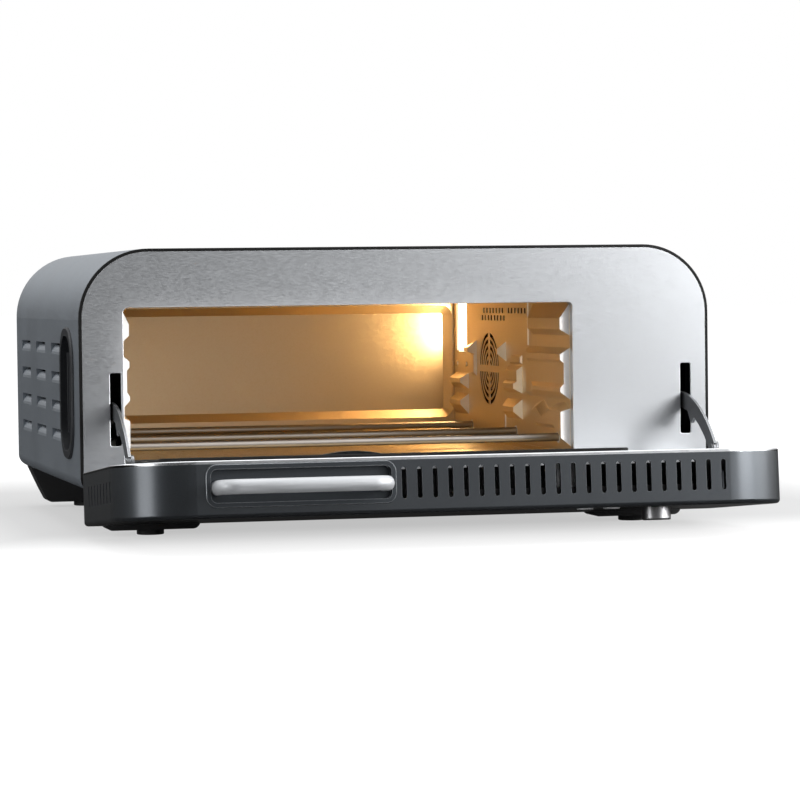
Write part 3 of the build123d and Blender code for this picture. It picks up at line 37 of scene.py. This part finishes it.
ahead = Vector((-sin(turn) * cos(dip), cos(turn) * cos(dip), -sin(dip)))
level = Vector((cos(turn), sin(turn), 0.0))
upward = level.cross(ahead)
right = level * cos(roll) + upward * sin(roll)
up = -level * sin(roll) + upward * cos(roll)
lens = bpy.data.cameras.new("view_camera")
lens.lens = focal_length
lens.sensor_width = sensor_width
lens.clip_end = farthest_seen
camera = bpy.data.objects.new("view_camera", lens)
camera.matrix_world = Matrix.Translation(camera_place) @ Matrix((right, up, -ahead)).transposed().to_4x4()
bpy.context.scene.collection.objects.link(camera)
bpy.context.scene.camera = camera
bpy.context.scene.view_settings.view_transform = "Standard"


# Lamps. Five soft boxes round the oven, the strongest two above it and on its right. The one that stands
# low on the left lights the door's left side and its corner.
def soft_lamp(name, place, aim, width, height, power, colour=(1.0, 1.0, 1.0)):
    """A rectangular lamp at a place, turned to face an aim."""
    light = bpy.data.lights.new(name, "AREA")
    light.shape = "RECTANGLE"
    light.size = width
    light.size_y = height
    light.energy = power
    light.color = colour
    lamp = bpy.data.objects.new(name, light)
    lamp.location = place
    lamp.rotation_euler = (Vector(aim) - Vector(place)).to_track_quat("-Z", "Y").to_euler()
    bpy.context.scene.collection.objects.link(lamp)


right_half = (0.2, 0.0, 0.1)
soft_lamp("key_lamp", (1.05, -1.0, 0.50), aim=right_half, width=0.6, height=0.7, power=17.0)
soft_lamp("right_lamp", (2.55, -0.62, 0.8), aim=right_half, width=1.3, height=1.2, power=42.0)
soft_lamp("top_lamp", (-0.1, -0.1, 2.6), aim=(-0.05, -0.1, 0.0), width=2.8, height=2.4, power=44.0)
soft_lamp("corner_lamp", (-1.97, -0.84, 0.30), aim=(-0.2, -0.3, 0.05), width=0.9, height=1.0, power=17.0)
soft_lamp("left_lamp", (-1.5, 0.6, 1.2), aim=(-0.25, 0.1, 0.12), width=0.8, height=0.8, power=9.0)


# Studio. Its walls light the oven with an even pale grey and are white where they are seen straight or
# through glass. In polished metal they are dim near the ground, and white overhead and on the right.
white = (1.0, 1.0, 1.0, 1.0)
room_grey = (0.86, 0.88, 0.90, 1.0)
room_strength = 0.40
world = bpy.data.worlds.new("studio")
bpy.context.scene.world = world
world.use_nodes = True
sky = world.node_tree
sky.nodes.clear()


def value_node(tree, operation, *terms):
    """One step of arithmetic, whose terms are outputs of nodes or plain numbers."""
    node = tree.nodes.new("ShaderNodeMath")
    node.operation = operation
    for socket, term in zip(node.inputs, terms):
        if isinstance(term, (int, float)):
            socket.default_value = term
        else:
            tree.links.new(term, socket)
    return node.outputs["Value"]


def smooth_step(tree, source, start, end, low=0.0, high=1.0):
    """A soft change from low to high while the source goes from start to end."""
    ramp = tree.nodes.new("ShaderNodeMapRange")
    ramp.interpolation_type = "SMOOTHSTEP"
    for socket, number in (("From Min", start), ("From Max", end), ("To Min", low), ("To Max", high)):
        ramp.inputs[socket].default_value = number
    tree.links.new(source, ramp.inputs["Value"])
    return ramp.outputs["Result"]


def axes_of(tree, coordinates):
    """The X, Y and Z of a kind of coordinates, each as an output of its own."""
    place = tree.nodes.new("ShaderNodeTexCoord")
    axes = tree.nodes.new("ShaderNodeSeparateXYZ")
    tree.links.new(place.outputs[coordinates], axes.inputs["Vector"])
    return axes.outputs


def backdrop_rays(tree):
    """Two masks: rays straight from the camera or through glass, and rays that metal or glass mirrors."""
    path = tree.nodes.new("ShaderNodeLightPath")
    direct = value_node(tree, "MAXIMUM", path.outputs["Is Camera Ray"], path.outputs["Is Transmission Ray"])
    return direct, path.outputs["Is Glossy Ray"]


direct, mirrored = backdrop_rays(sky)
ray = axes_of(sky, "Generated")
front_ceiling = smooth_step(sky, ray["Z"], start=0.08, end=0.95, low=0.095, high=1.0)
rear_ceiling = smooth_step(sky, ray["Z"], start=0.0, end=0.45, low=0.16, high=1.0)
right_wall = smooth_step(sky, ray["X"], start=0.12, end=0.42, low=0.0, high=1.12)
not_far_back = smooth_step(sky, ray["Y"], start=0.35, end=0.85, low=1.0, high=0.1)
in_front = smooth_step(sky, ray["Y"], start=-0.2, end=0.1, low=1.0, high=0.0)
front_card = value_node(sky, "MULTIPLY", front_ceiling, in_front)
rear_card = value_node(sky, "MULTIPLY", rear_ceiling, value_node(sky, "SUBTRACT", 1.0, in_front))
right_card = value_node(sky, "MULTIPLY", right_wall, not_far_back)
cards = value_node(sky, "ADD", value_node(sky, "ADD", front_card, rear_card), right_card)
shown = sky.nodes.new("ShaderNodeBackground")
shown.inputs["Color"].default_value = white
sky.links.new(value_node(sky, "ADD", direct, value_node(sky, "MULTIPLY", mirrored, cards)),
              shown.inputs["Strength"])
room = sky.nodes.new("ShaderNodeBackground")
room.inputs["Color"].default_value = room_grey
room.inputs["Strength"].default_value = room_strength
choice = sky.nodes.new("ShaderNodeMixShader")
share, lighting, picture = choice.inputs
out = sky.nodes.new("ShaderNodeOutputWorld")
sky.links.new(value_node(sky, "MAXIMUM", direct, mirrored), share)
sky.links.new(room.outputs["Background"], lighting)
sky.links.new(shown.outputs["Background"], picture)
sky.links.new(choice.outputs["Shader"], out.inputs["Surface"])


# Floor. A flat sheet of white paper that keeps the oven's shadow. Seen straight, it glows more the farther
# it lies from the oven, so that it runs over into the white studio; its weaker glow near the oven and
# under the door is a painted shadow round the oven. Polished metal mirrors it dark, a painted shade.
floor_half = 30.0
paper_colour = 0.68
paper_seen = 0.22
paper_mirrored_shade = 0.03
mirrored_glow = 0.015
shadow_middle = 0.06


def sheet_mesh(name, points):
    """A grid of points, shaped (rows, columns, 3), as a mesh of four-sided faces."""
    rows, columns = points.shape[:2]
    corner = np.arange(rows * columns).reshape(rows, columns)
    faces = np.stack([corner[:-1, :-1], corner[:-1, 1:], corner[1:, 1:], corner[1:, :-1]], -1).reshape(-1, 4)
    mesh = bpy.data.meshes.new(name)
    mesh.from_pydata(points.reshape(-1, 3).tolist(), [], faces.tolist())
    piece = bpy.data.objects.new(name, mesh)
    bpy.context.scene.collection.objects.link(piece)
    return piece


def surface(name, colour, roughness, metallic=0.0, sockets=()):
    """A material with one plain shader; the finishes below add their nodes to it."""
    material = bpy.data.materials.new(name)
    material.use_nodes = True
    shader = material.node_tree.nodes["Principled BSDF"]
    shader.inputs["Base Color"].default_value = (*colour, 1.0)
    shader.inputs["Roughness"].default_value = roughness
    shader.inputs["Metallic"].default_value = metallic
    for socket, value in dict(sockets).items():
        shader.inputs[socket].default_value = value
    return material


def shader_socket(material, name):
    """An input of the material's shader."""
    return material.node_tree.nodes["Principled BSDF"].inputs[name]


edge_places = [-floor_half, floor_half]
floor_grid = np.stack(np.meshgrid(edge_places, edge_places, indexing="ij"), -1)
floor = sheet_mesh("floor", np.concatenate([floor_grid, np.zeros((2, 2, 1))], -1)[::-1])
paper = surface("floor_white", [paper_colour] * 3, roughness=1.0,
                sockets={"Specular IOR Level": 0.0, "Emission Color": white})
tree = paper.node_tree
direct, mirrored = backdrop_rays(tree)
# Seen in metal, the paper is almost black: a painted shade.
not_mirrored = value_node(tree, "MULTIPLY_ADD", mirrored, paper_mirrored_shade - paper_colour, paper_colour)
tree.links.new(value_node(tree, "MULTIPLY_ADD", direct, paper_seen - paper_colour, not_mirrored),
               shader_socket(paper, "Base Color"))
ground = axes_of(tree, "Object")
sideways = value_node(tree, "ABSOLUTE", value_node(tree, "SUBTRACT", ground["X"], shadow_middle))
# The glow is held lower near the oven and under its door: a painted shadow round the oven.
in_front = smooth_step(tree, ground["Y"], start=-0.03, end=-0.27, low=0.52, high=0.90)
beside = smooth_step(tree, sideways, start=0.24, end=0.60, low=0.42, high=1.0)
behind = smooth_step(tree, ground["Y"], start=0.3, end=1.0, low=0.42, high=1.0)
glow_with_painted_shadow = value_node(tree, "MAXIMUM", in_front, value_node(tree, "MAXIMUM", beside, behind))
tree.links.new(value_node(tree, "ADD", value_node(tree, "MULTIPLY", direct, glow_with_painted_shadow),
                          value_node(tree, "MULTIPLY", mirrored, mirrored_glow)),
               shader_socket(paper, "Emission Strength"))
floor.data.materials.append(paper)


# Outer wrap. One sheet of steel bent over the roof and both sides, sprayed with a grey metallic paint.
# Under the clear coat the paint has a fine sparkle, and its gloss varies very slightly, as on any sprayed
# sheet. Its inner side is darkened with painted shade, as hardly any light reaches it.
noise_low, noise_high = 0.3, 0.7


def node_group(name, taken, given):
    """An empty node group with named inputs and outputs, and its own two end nodes."""
    group = bpy.data.node_groups.new(name, "ShaderNodeTree")
    for way, sockets in (("INPUT", taken), ("OUTPUT", given)):
        for socket, kind in sockets.items():
            group.interface.new_socket(socket, in_out=way, socket_type=kind)
    return group, group.nodes.new("NodeGroupInput"), group.nodes.new("NodeGroupOutput")


def use_group(tree, group, values):
    """Places a node group with its own values for one material and gives its outputs."""
    node = tree.nodes.new("ShaderNodeGroup")
    node.node_tree = group
    for socket, value in values.items():
        node.inputs[socket].default_value = value
    return node.outputs


def vector_node(tree, operation, *terms):
    """One step of arithmetic with vectors; the node is given back, as some steps put out a number."""
    node = tree.nodes.new("ShaderNodeVectorMath")
    node.operation = operation
    for socket, term in zip(node.inputs, terms):
        tree.links.new(term, socket)
    return node


number, vector = "NodeSocketFloat", "NodeSocketVector"
paint_group, group_in, group_out = node_group(
    "sprayed_paint", {"Fleck size": number, "Wave size": number}, {"Fleck": number, "Wave": number})
place = paint_group.nodes.new("ShaderNodeTexCoord")
for mask, detail in (("Fleck", 2.0), ("Wave", 3.0)):
    noise = paint_group.nodes.new("ShaderNodeTexNoise")
    noise.inputs["Detail"].default_value = detail
    paint_group.links.new(place.outputs["Object"], noise.inputs["Vector"])
    paint_group.links.new(group_in.outputs[mask + " size"], noise.inputs["Scale"])
    paint_group.links.new(noise.outputs["Fac"], group_out.inputs[mask])


def vary_gloss(material, source, low, high):
    """Maps a noise mask to a range of roughness."""
    tree = material.node_tree
    scale = tree.nodes.new("ShaderNodeMapRange")
    scale.inputs["From Min"].default_value = noise_low
    scale.inputs["From Max"].default_value = noise_high
    scale.inputs["To Min"].default_value = low
    scale.inputs["To Max"].default_value = high
    tree.links.new(source, scale.inputs["Value"])
    tree.links.new(scale.outputs["Result"], shader_socket(material, "Roughness"))


def vary_colour(material, source, dark, light):
    """Mixes two colours by a noise mask and feeds the base colour with them."""
    tree = material.node_tree
    ramp = tree.nodes.new("ShaderNodeValToRGB")
    ends = zip(ramp.color_ramp.elements, (noise_low, noise_high), (dark, light))
    for end, position, colour in ends:
        end.position = position
        end.color = (*colour, 1.0)
    tree.links.new(source, ramp.inputs["Fac"])
    tree.links.new(ramp.outputs["Color"], shader_socket(material, "Base Color"))


def emboss(material, source, height, strength):
    """Turns a mask into bump of a given height in metres."""
    tree = material.node_tree
    bump = tree.nodes.new("ShaderNodeBump")
    bump.inputs["Distance"].default_value = height
    bump.inputs["Strength"].default_value = strength
    tree.links.new(source, bump.inputs["Height"])
    tree.links.new(bump.outputs["Normal"], shader_socket(material, "Normal"))


def painted(name, colour, roughness, metallic=0.0, fleck_size=2600.0, bump=2e-5, sockets=()):
    """Sprayed paint: sparkle in the colour and height, slight waves in the gloss."""
    material = surface(name, colour, roughness, metallic, sockets)
    spray = use_group(material.node_tree, paint_group, {"Fleck size": fleck_size, "Wave size": 14.0})
    vary_colour(material, spray["Fleck"], dark=[part * 0.88 for part in colour],
                light=[part * 1.14 for part in colour])
    vary_gloss(material, spray["Wave"], low=roughness * 0.9, high=roughness * 1.12)
    emboss(material, spray["Fleck"], bump, strength=0.35)
    return material


side_group, group_in, group_out = node_group(
    "inner_side", {"Middle": vector, "Ways": vector}, {"Outside": number})
place = side_group.nodes.new("ShaderNodeTexCoord")
face = side_group.nodes.new("ShaderNodeNewGeometry")
own_face = side_group.nodes.new("ShaderNodeVectorTransform")
own_face.vector_type = "NORMAL"
own_face.convert_from = "WORLD"
own_face.convert_to = "OBJECT"
side_group.links.new(face.outputs["True Normal"], own_face.inputs["Vector"])
from_middle = vector_node(side_group, "SUBTRACT", place.outputs["Object"], group_in.outputs["Middle"])
along_ways = vector_node(side_group, "MULTIPLY", from_middle.outputs["Vector"], group_in.outputs["Ways"])
outwards = vector_node(side_group, "NORMALIZE", along_ways.outputs["Vector"])
facing = vector_node(side_group, "DOT_PRODUCT", outwards.outputs["Vector"], own_face.outputs["Vector"])
side_group.links.new(facing.outputs["Value"], group_out.inputs["Outside"])


def side_of(tree, middle, ways):
    """How far a face looks away from a middle, from -1 to 1, counting only some of the three ways."""
    return use_group(tree, side_group, {"Middle": middle, "Ways": ways})["Outside"]


def paint_inner_shade(material, middle, ways, shown=1.0):
    """Paints shade on the side of a sheet that faces its middle (or faces away from it, with shown at -1).
    """
    tree = material.node_tree
    colour = shader_socket(material, "Base Color")
    share = smooth_step(tree, side_of(tree, middle, ways), start=-0.20 * shown, end=-0.35 * shown,
                        low=1.0, high=0.05)
    scaled = vector_node(tree, "SCALE", colour.links[0].from_socket)
    tree.links.new(share, scaled.inputs["Scale"])
    tree.links.new(scaled.outputs["Vector"], colour)


def dress(material, *names):
    """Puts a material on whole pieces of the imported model."""
    for name in names:
        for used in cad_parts[name].material_slots:
            used.material = material


wrap_low, wrap_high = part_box("outer_wrap")
body_middle = (wrap_low + wrap_high) / 2
wrap_paint = painted("wrap_paint", (0.21, 0.235, 0.265), roughness=0.42, metallic=0.7,
                     sockets={"Coat Weight": 0.25, "Coat Roughness": 0.22})
# Painted shade on the wrap's inner side.
paint_inner_shade(wrap_paint, body_middle, (1.0, 0.0, 1.0))
dress(wrap_paint, "outer_wrap")


# Front trim. A black edge strip that fills the joint between the wrap and the front panel, in a dead matt
# paint, so that it reads as a shadow line.
trim_paint = painted("trim_black", (0.004, 0.004, 0.004), roughness=0.5, sockets={"Specular IOR Level": 0.2})
dress(trim_paint, "front_trim")


# Front panel. Stainless steel sheet, brushed from side to side with a fine belt, so that it shows thin
# level streaks and stretches every reflection upwards and downwards. Its bent edges carry a painted
# highlight, and its back is darkened with painted shade.
grain_group, group_in, group_out = node_group("brushed_grain", {"Stretch": vector}, {"Streak": number})
place = grain_group.nodes.new("ShaderNodeTexCoord")
stretched = vector_node(grain_group, "MULTIPLY", place.outputs["Object"], group_in.outputs["Stretch"])
streak = grain_group.nodes.new("ShaderNodeTexNoise")
streak.inputs["Scale"].default_value = 1.0
streak.inputs["Detail"].default_value = 4.0
grain_group.links.new(stretched.outputs["Vector"], streak.inputs["Vector"])
grain_group.links.new(streak.outputs["Fac"], group_out.inputs["Streak"])


def brushed(name, colour, roughness, stretch, metallic=1.0, bump=1.5e-5, contrast=0.08):
    """Brushed metal: streaks along the axis with the smallest stretch, in colour, gloss and height."""
    material = surface(name, colour, roughness, metallic)
    grain = use_group(material.node_tree, grain_group, {"Stretch": stretch})
    vary_colour(material, grain["Streak"], dark=[part * (1 - contrast) for part in colour],
                light=[min(1.0, part * (1 + contrast)) for part in colour])
    vary_gloss(material, grain["Streak"], low=roughness * 0.8, high=roughness * 1.25)
    emboss(material, grain["Streak"], bump, strength=0.5)
    return material


# A mask of rounded edges, for painted highlights along them.
edge_highlight_group, group_in, group_out = node_group("painted_edge_highlight", {"Width": number}, {"Edge": number})
rounded = edge_highlight_group.nodes.new("ShaderNodeBevel")
rounded.samples = 4
face = edge_highlight_group.nodes.new("ShaderNodeNewGeometry")
edge_highlight_group.links.new(group_in.outputs["Width"], rounded.inputs["Radius"])
alike = vector_node(edge_highlight_group, "DOT_PRODUCT", rounded.outputs["Normal"], face.outputs["Normal"])
edge_highlight_group.links.new(smooth_step(edge_highlight_group, alike.outputs["Value"], start=0.995, end=0.90),
                     group_out.inputs["Edge"])


def mix_in(material, share, colour):
    """Mixes one more colour into what feeds the base colour, by a mask."""
    tree = material.node_tree
    target = shader_socket(material, "Base Color")
    mix = tree.nodes.new("ShaderNodeMix")
    mix.data_type = "RGBA"
    under, over = [socket for socket in mix.inputs if socket.type == "RGBA"]
    mixed = [socket for socket in mix.outputs if socket.type == "RGBA"][0]
    tree.links.new(share, mix.inputs["Factor"])
    tree.links.new(target.links[0].from_socket, under)
    over.default_value = (*colour, 1.0)
    tree.links.new(mixed, target)


def paint_edge_highlight(material, width, colour):
    """Paints a highlight along the edges of a piece, where they would catch the light."""
    mix_in(material, use_group(material.node_tree, edge_highlight_group, {"Width": width})["Edge"], colour)


panel_steel = brushed("panel_steel", (0.52, 0.535, 0.555), roughness=0.36, stretch=(260.0, 900.0, 3600.0),
                      bump=1.2e-6, contrast=0.02)
paint_edge_highlight(panel_steel, 0.5 * mm, (0.85, 0.87, 0.90))
paint_inner_shade(panel_steel, body_middle, (0.0, 1.0, 0.0))
dress(panel_steel, "front_panel")


# Rear cover and base. Thin sheet with a matt black powder coat at the back, and plain zinc-coated sheet
# below, where nobody looks. The fan motor's bracket is of the same sheet.
rear_paint = painted("rear_powder", (0.028, 0.028, 0.030), roughness=0.62, fleck_size=1500.0, bump=8e-5)
dress(rear_paint, "rear_panel")
zinc = brushed("zinc_sheet", (0.52, 0.53, 0.55), roughness=0.48, stretch=(60.0, 60.0, 60.0), contrast=0.16)
dress(zinc, "base_pan", "fan_bracket")


# Feet and small mouldings. Four black plastic blocks under the base with soft rubber pads pressed into
# them. The terminal block, the gland at the back and the frame of the door's board are moulded alike.
moulded = painted("moulded_black", (0.016, 0.016, 0.017), roughness=0.5, fleck_size=900.0, bump=1.2e-4)
dress(moulded, "foot_blocks", "terminal_block", "cord_gland", "board_carrier")
rubber = painted("pad_rubber", (0.03, 0.03, 0.031), roughness=0.8, fleck_size=700.0, bump=1e-4)
dress(rubber, "foot_pads")


# Side grips. Plastic pockets set into the wrap's sides to lift the oven by, moulded in satin black with
# upright ribs. Their edges carry a painted highlight, a little lighter.
grip_black = painted("grip_black", (0.010, 0.011, 0.013), roughness=0.5, fleck_size=1200.0, bump=6e-5,
                     sockets={"Specular IOR Level": 0.22})
paint_edge_highlight(grip_black, 1.2 * mm, (0.045, 0.048, 0.052))
dress(grip_black, "left_grip", "right_grip")


# Cavity. Five pressed sheets of plain steel that the oven's heat has turned slightly golden. Only the
# side towards the cavity is bright; the other side is darkened with painted shade, and the cut faces of
# the vents and the grille are painted black as shade. Faces of the side walls that look to the front get
# a painted near-white reflection, and the back sheet is a darker copy of the same steel, as painted shade.
back_low, back_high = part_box("cavity_back")
cavity_middle = Vector(((back_low.x + back_high.x) / 2, body_middle.y, (back_low.z + back_high.z) / 2))
wall_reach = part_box("cavity_right_wall")[1].x - cavity_middle.x
across, lengthwise, upright = (1.0, 0.0, 0.0), (0.0, 1.0, 0.0), (0.0, 0.0, 1.0)


def looks(tree, way):
    """How far a face looks one way, from -1 to 1, as seen from a middle well off on the other side."""
    return side_of(tree, [-part for part in way], [abs(part) for part in way])


def crisp(name):
    """Joins a sheet's faces, keeps its folds sharp and lets its rounded edges shade smoothly."""
    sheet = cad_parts[name]
    sheet.modifiers.new("joined", "WELD").merge_threshold = 0.001 * mm
    sheet.modifiers.new("folds", "EDGE_SPLIT").split_angle = radians(28.0)
    sheet.modifiers.new("shading", "WEIGHTED_NORMAL")


def liner_steel(name, colour):
    """Steel that heat has tinted, with hardly any grain."""
    return brushed(name, colour, roughness=0.47, stretch=(700.0, 700.0, 700.0), bump=2e-6, contrast=0.015)


def line_cavity(steel, ways, *pieces):
    """Dresses sheets that lie off the cavity's middle some ways, with painted shade on the side away from
    it.
    """
    paint_inner_shade(steel, cavity_middle, ways, shown=-1.0)
    dress(steel, *pieces)
    for piece in pieces:
        crisp(piece)


sides_steel = liner_steel("liner_sides", (0.80, 0.65, 0.43))
tree = sides_steel.node_tree
# Faces that look to the front get a painted near-white reflection.
mix_in(sides_steel, smooth_step(tree, looks(tree, (0.0, -1.0, 0.0)), start=0.3, end=0.7), (1.0, 0.97, 0.94))
# Faces inside the sheet's thickness, at the vent and grille cuts, are painted black as shade.
off_middle = value_node(tree, "SUBTRACT", axes_of(tree, "Object")["X"], cavity_middle.x)
behind_sheet = smooth_step(tree, value_node(tree, "ABSOLUTE", off_middle),
                           start=wall_reach - 0.75 * mm, end=wall_reach - 0.65 * mm)
not_inwards = smooth_step(tree, side_of(tree, cavity_middle, across), start=-0.6, end=-0.4)
mix_in(sides_steel, value_node(tree, "MULTIPLY", behind_sheet, not_inwards), (0.02, 0.015, 0.01))
line_cavity(sides_steel, across, "cavity_left_wall", "cavity_right_wall")
# The back sheet gets a darker copy of the steel as painted shade.
line_cavity(liner_steel("liner_back", (0.60, 0.49, 0.34)), lengthwise, "cavity_back")
line_cavity(liner_steel("liner_levels", (0.80, 0.62, 0.36)), upright, "cavity_roof", "cavity_floor")


# Heaters. Straight tubes of heat-proof steel, dulled by use, whose ends sit in white ceramic bushes in the
# liner's side walls. The lamp's socket is of the same ceramic.
tube_steel = brushed("tube_steel", (0.30, 0.275, 0.255), roughness=0.38, stretch=(8.0, 500.0, 500.0))
dress(tube_steel, "lower_heater_front", "lower_heater_middle", "lower_heater_rear",
      "upper_heater_front", "upper_heater_middle", "upper_heater_rear")
ceramic = painted("white_ceramic", (0.80, 0.78, 0.72), roughness=0.6, fleck_size=600.0)
dress(ceramic, "heater_bushes", "lamp_socket")


# Crumb tray. A thin bright steel tray that slides over the cavity's floor. The rounded tab by which it is
# drawn out is painted dark as shade, and the tray's edges carry a painted highlight.
tray_steel = brushed("tray_steel", (0.70, 0.56, 0.34), roughness=0.30, stretch=(120.0, 2600.0, 2600.0),
                     bump=2e-6, contrast=0.012)
tray_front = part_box("crumb_tray")[0].y
tree = tray_steel.node_tree
# The tab is painted dark as shade.
tab_shade = smooth_step(tree, axes_of(tree, "Object")["Y"], start=tray_front + 8.3 * mm,
                     end=tray_front + 7.5 * mm)
mix_in(tray_steel, tab_shade, (0.03, 0.032, 0.034))
paint_edge_highlight(tray_steel, 0.5 * mm, (0.85, 0.80, 0.70))
dress(tray_steel, "crumb_tray")


# Fan, motor and electric parts, most of them between liner and wrap. The impeller is cast, the fan's dish
# and the lamp's box are of dark steel, and the boards have a green coat. A blanket of mineral wool lies on
# the liner's roof.
dark_steel = brushed("dark_steel", (0.10, 0.09, 0.08), roughness=0.5, stretch=(60.0, 60.0, 60.0))
# The arm guides take this dark steel as painted shade, where they are seen through the arm slots.
dress(dark_steel, "fan_housing", "lamp_housing", "arm_guides")
cast = brushed("cast_aluminium", (0.60, 0.60, 0.61), roughness=0.42, stretch=(90.0, 90.0, 90.0),
               contrast=0.12)
dress(cast, "fan_impeller", "hinge_blocks")
motor_steel = brushed("motor_steel", (0.35, 0.35, 0.36), roughness=0.42, stretch=(60.0, 60.0, 60.0))
dress(motor_steel, "fan_motor", "thermal_cutout")
board_green = painted("board_green", (0.02, 0.12, 0.05), roughness=0.45)
dress(board_green, "power_board", "control_board")
wool = painted("mineral_wool", (0.70, 0.64, 0.42), roughness=0.95, fleck_size=260.0, bump=6e-4)
dress(wool, "roof_blanket")


# Lamp. A small warm bulb in a box behind a thick frosted pane near the back of the right wall. Its light
# is a soft lamp just in front of the pane, and a weak one in the cavity's mouth fills the shadows.
bulb_glass = surface("lit_bulb", (1.0, 0.85, 0.6), roughness=0.3,
                     sockets={"Emission Color": (1.0, 0.66, 0.30, 1.0), "Emission Strength": 60.0})
dress(bulb_glass, "lamp_bulb")
lamp_pane = surface("lamp_pane", (1.0, 0.98, 0.94), roughness=0.5,
                    sockets={"Emission Color": (1.0, 0.90, 0.62, 1.0), "Emission Strength": 3.0})
dress(lamp_pane, "lamp_glass")
pane_low, pane_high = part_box("lamp_glass")
pane_middle = (pane_low + pane_high) / 2
pane_face = Vector((pane_low.x - 3 * mm, pane_middle.y + 6 * mm, pane_middle.z))
soft_lamp("cavity_lamp", pane_face, aim=pane_face - Vector(across), width=20 * mm, height=36 * mm,
          power=0.27, colour=(1.0, 0.66, 0.31))
mouth = Vector((cavity_middle.x - 20 * mm, -130 * mm, cavity_middle.z))
soft_lamp("mouth_fill", mouth, aim=mouth + Vector(lengthwise), width=300 * mm, height=90 * mm,
          power=0.070, colour=(1.0, 0.97, 0.95))


# Hinges, arms and screws. The brackets, pins and screws are of zinc-plated steel. The toothed arms that
# hold the door and their small plates are stamped from darker steel, and their cut edges carry a painted
# highlight.
hinge_steel = brushed("hinge_steel", (0.50, 0.50, 0.52), roughness=0.36, stretch=(120.0, 120.0, 120.0))
dress(hinge_steel, "hinge_brackets", "hinge_pins", "hinge_screws", "rear_screws")
arm_steel = brushed("arm_steel", (0.20, 0.205, 0.215), roughness=0.38, stretch=(30.0, 120.0, 600.0))
paint_edge_highlight(arm_steel, 0.5 * mm, (0.62, 0.64, 0.66))
dress(arm_steel, "left_door_arm", "right_door_arm", "arm_brackets")


# Door rim. A deep pressed steel rim in charcoal metallic paint, with vent slots in its top edge and both
# sides. Its folds carry a thin painted highlight, and its inner side and the ledge seen through the slots
# are painted black as shade.
door_paint = painted("door_charcoal", (0.056, 0.062, 0.069), roughness=0.33, metallic=0.85,
                     sockets={"Coat Weight": 0.35, "Coat Roughness": 0.22})
paint_edge_highlight(door_paint, 0.4 * mm, (0.26, 0.28, 0.30))
door_low, door_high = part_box("door_shell")
paint_inner_shade(door_paint, (door_low + door_high) / 2, (1.0, 1.0, 0.0))
tree = door_paint.node_tree
# Faces below the rim that look up are painted black as shade.
looks_up = smooth_step(tree, looks(tree, upright), start=0.3, end=0.6)
below_rim = smooth_step(tree, axes_of(tree, "Object")["Z"], start=door_high.z - 1.5 * mm,
                        end=door_high.z - 3.0 * mm)
mix_in(door_paint, value_node(tree, "MULTIPLY", looks_up, below_rim), (0.003, 0.003, 0.003))
dress(door_paint, "door_shell")


# Door inside. A stainless sheet with a thick rolled edge that closes the rim. A black heat-proof frame
# clamps a clear pane of glass in its opening.
door_steel = brushed("door_steel", (0.54, 0.55, 0.565), roughness=0.28, stretch=(60.0, 2600.0, 2600.0),
                     bump=2.5e-6, contrast=0.04)
tree = door_steel.node_tree
# Faces below the rim that don't look up are painted near-black as shade.
not_up = smooth_step(tree, looks(tree, upright), start=0.1, end=0.4, low=1.0, high=0.0)
below_rim = smooth_step(tree, axes_of(tree, "Object")["Z"], start=door_high.z, end=door_high.z - 1.5 * mm)
mix_in(door_steel, value_node(tree, "MULTIPLY", not_up, below_rim), (0.01, 0.01, 0.01))
dress(door_steel, "door_inner_panel")
seal_black = painted("seal_black", (0.008, 0.008, 0.008), roughness=0.7, fleck_size=900.0,
                     sockets={"Specular IOR Level": 0.15})
dress(seal_black, "window_seal")
clear_pane = surface("inner_pane", (0.9, 0.9, 0.9), roughness=0.04,
                     sockets={"Transmission Weight": 1.0, "IOR": 1.47})
dress(clear_pane, "inner_glass")


# Outer glass and display. One sheet of black-backed glass is set into the rim, and a smoked lens lies
# flush in it over the display.
black_glass = surface("black_glass", (0.004, 0.004, 0.005), roughness=0.07,
                      sockets={"Specular IOR Level": 0.4})
dress(black_glass, "door_fascia", "display_lens")


# Handle. A brushed steel bar, bent from one rod and slightly arched, with both ends turned into a dished
# and painted plate in the door's top edge. The plate's edges carry a painted highlight.
dish_paint = painted("dish_paint", (0.052, 0.058, 0.065), roughness=0.36, metallic=0.8)
paint_edge_highlight(dish_paint, 0.5 * mm, (0.40, 0.42, 0.44))
dress(dish_paint, "handle_plate")
bar_steel = brushed("bar_steel", (0.42, 0.43, 0.445), roughness=0.55, stretch=(8.0, 900.0, 900.0),
                    metallic=0.6, bump=1e-5)
dress(bar_steel, "handle_bar")


# Controls. A turned metal knob and two small silver buttons that stand out of the outer glass. The buttons
# are moulded and lacquered to match the knob.
knob_steel = brushed("knob_steel", (0.40, 0.40, 0.41), roughness=0.36, stretch=(400.0, 400.0, 20.0),
                     bump=4e-6)
dress(knob_steel, "control_knob")
button_silver = painted("button_silver", (0.45, 0.45, 0.46), roughness=0.35, metallic=0.3)
dress(button_silver, "start_button", "light_button")
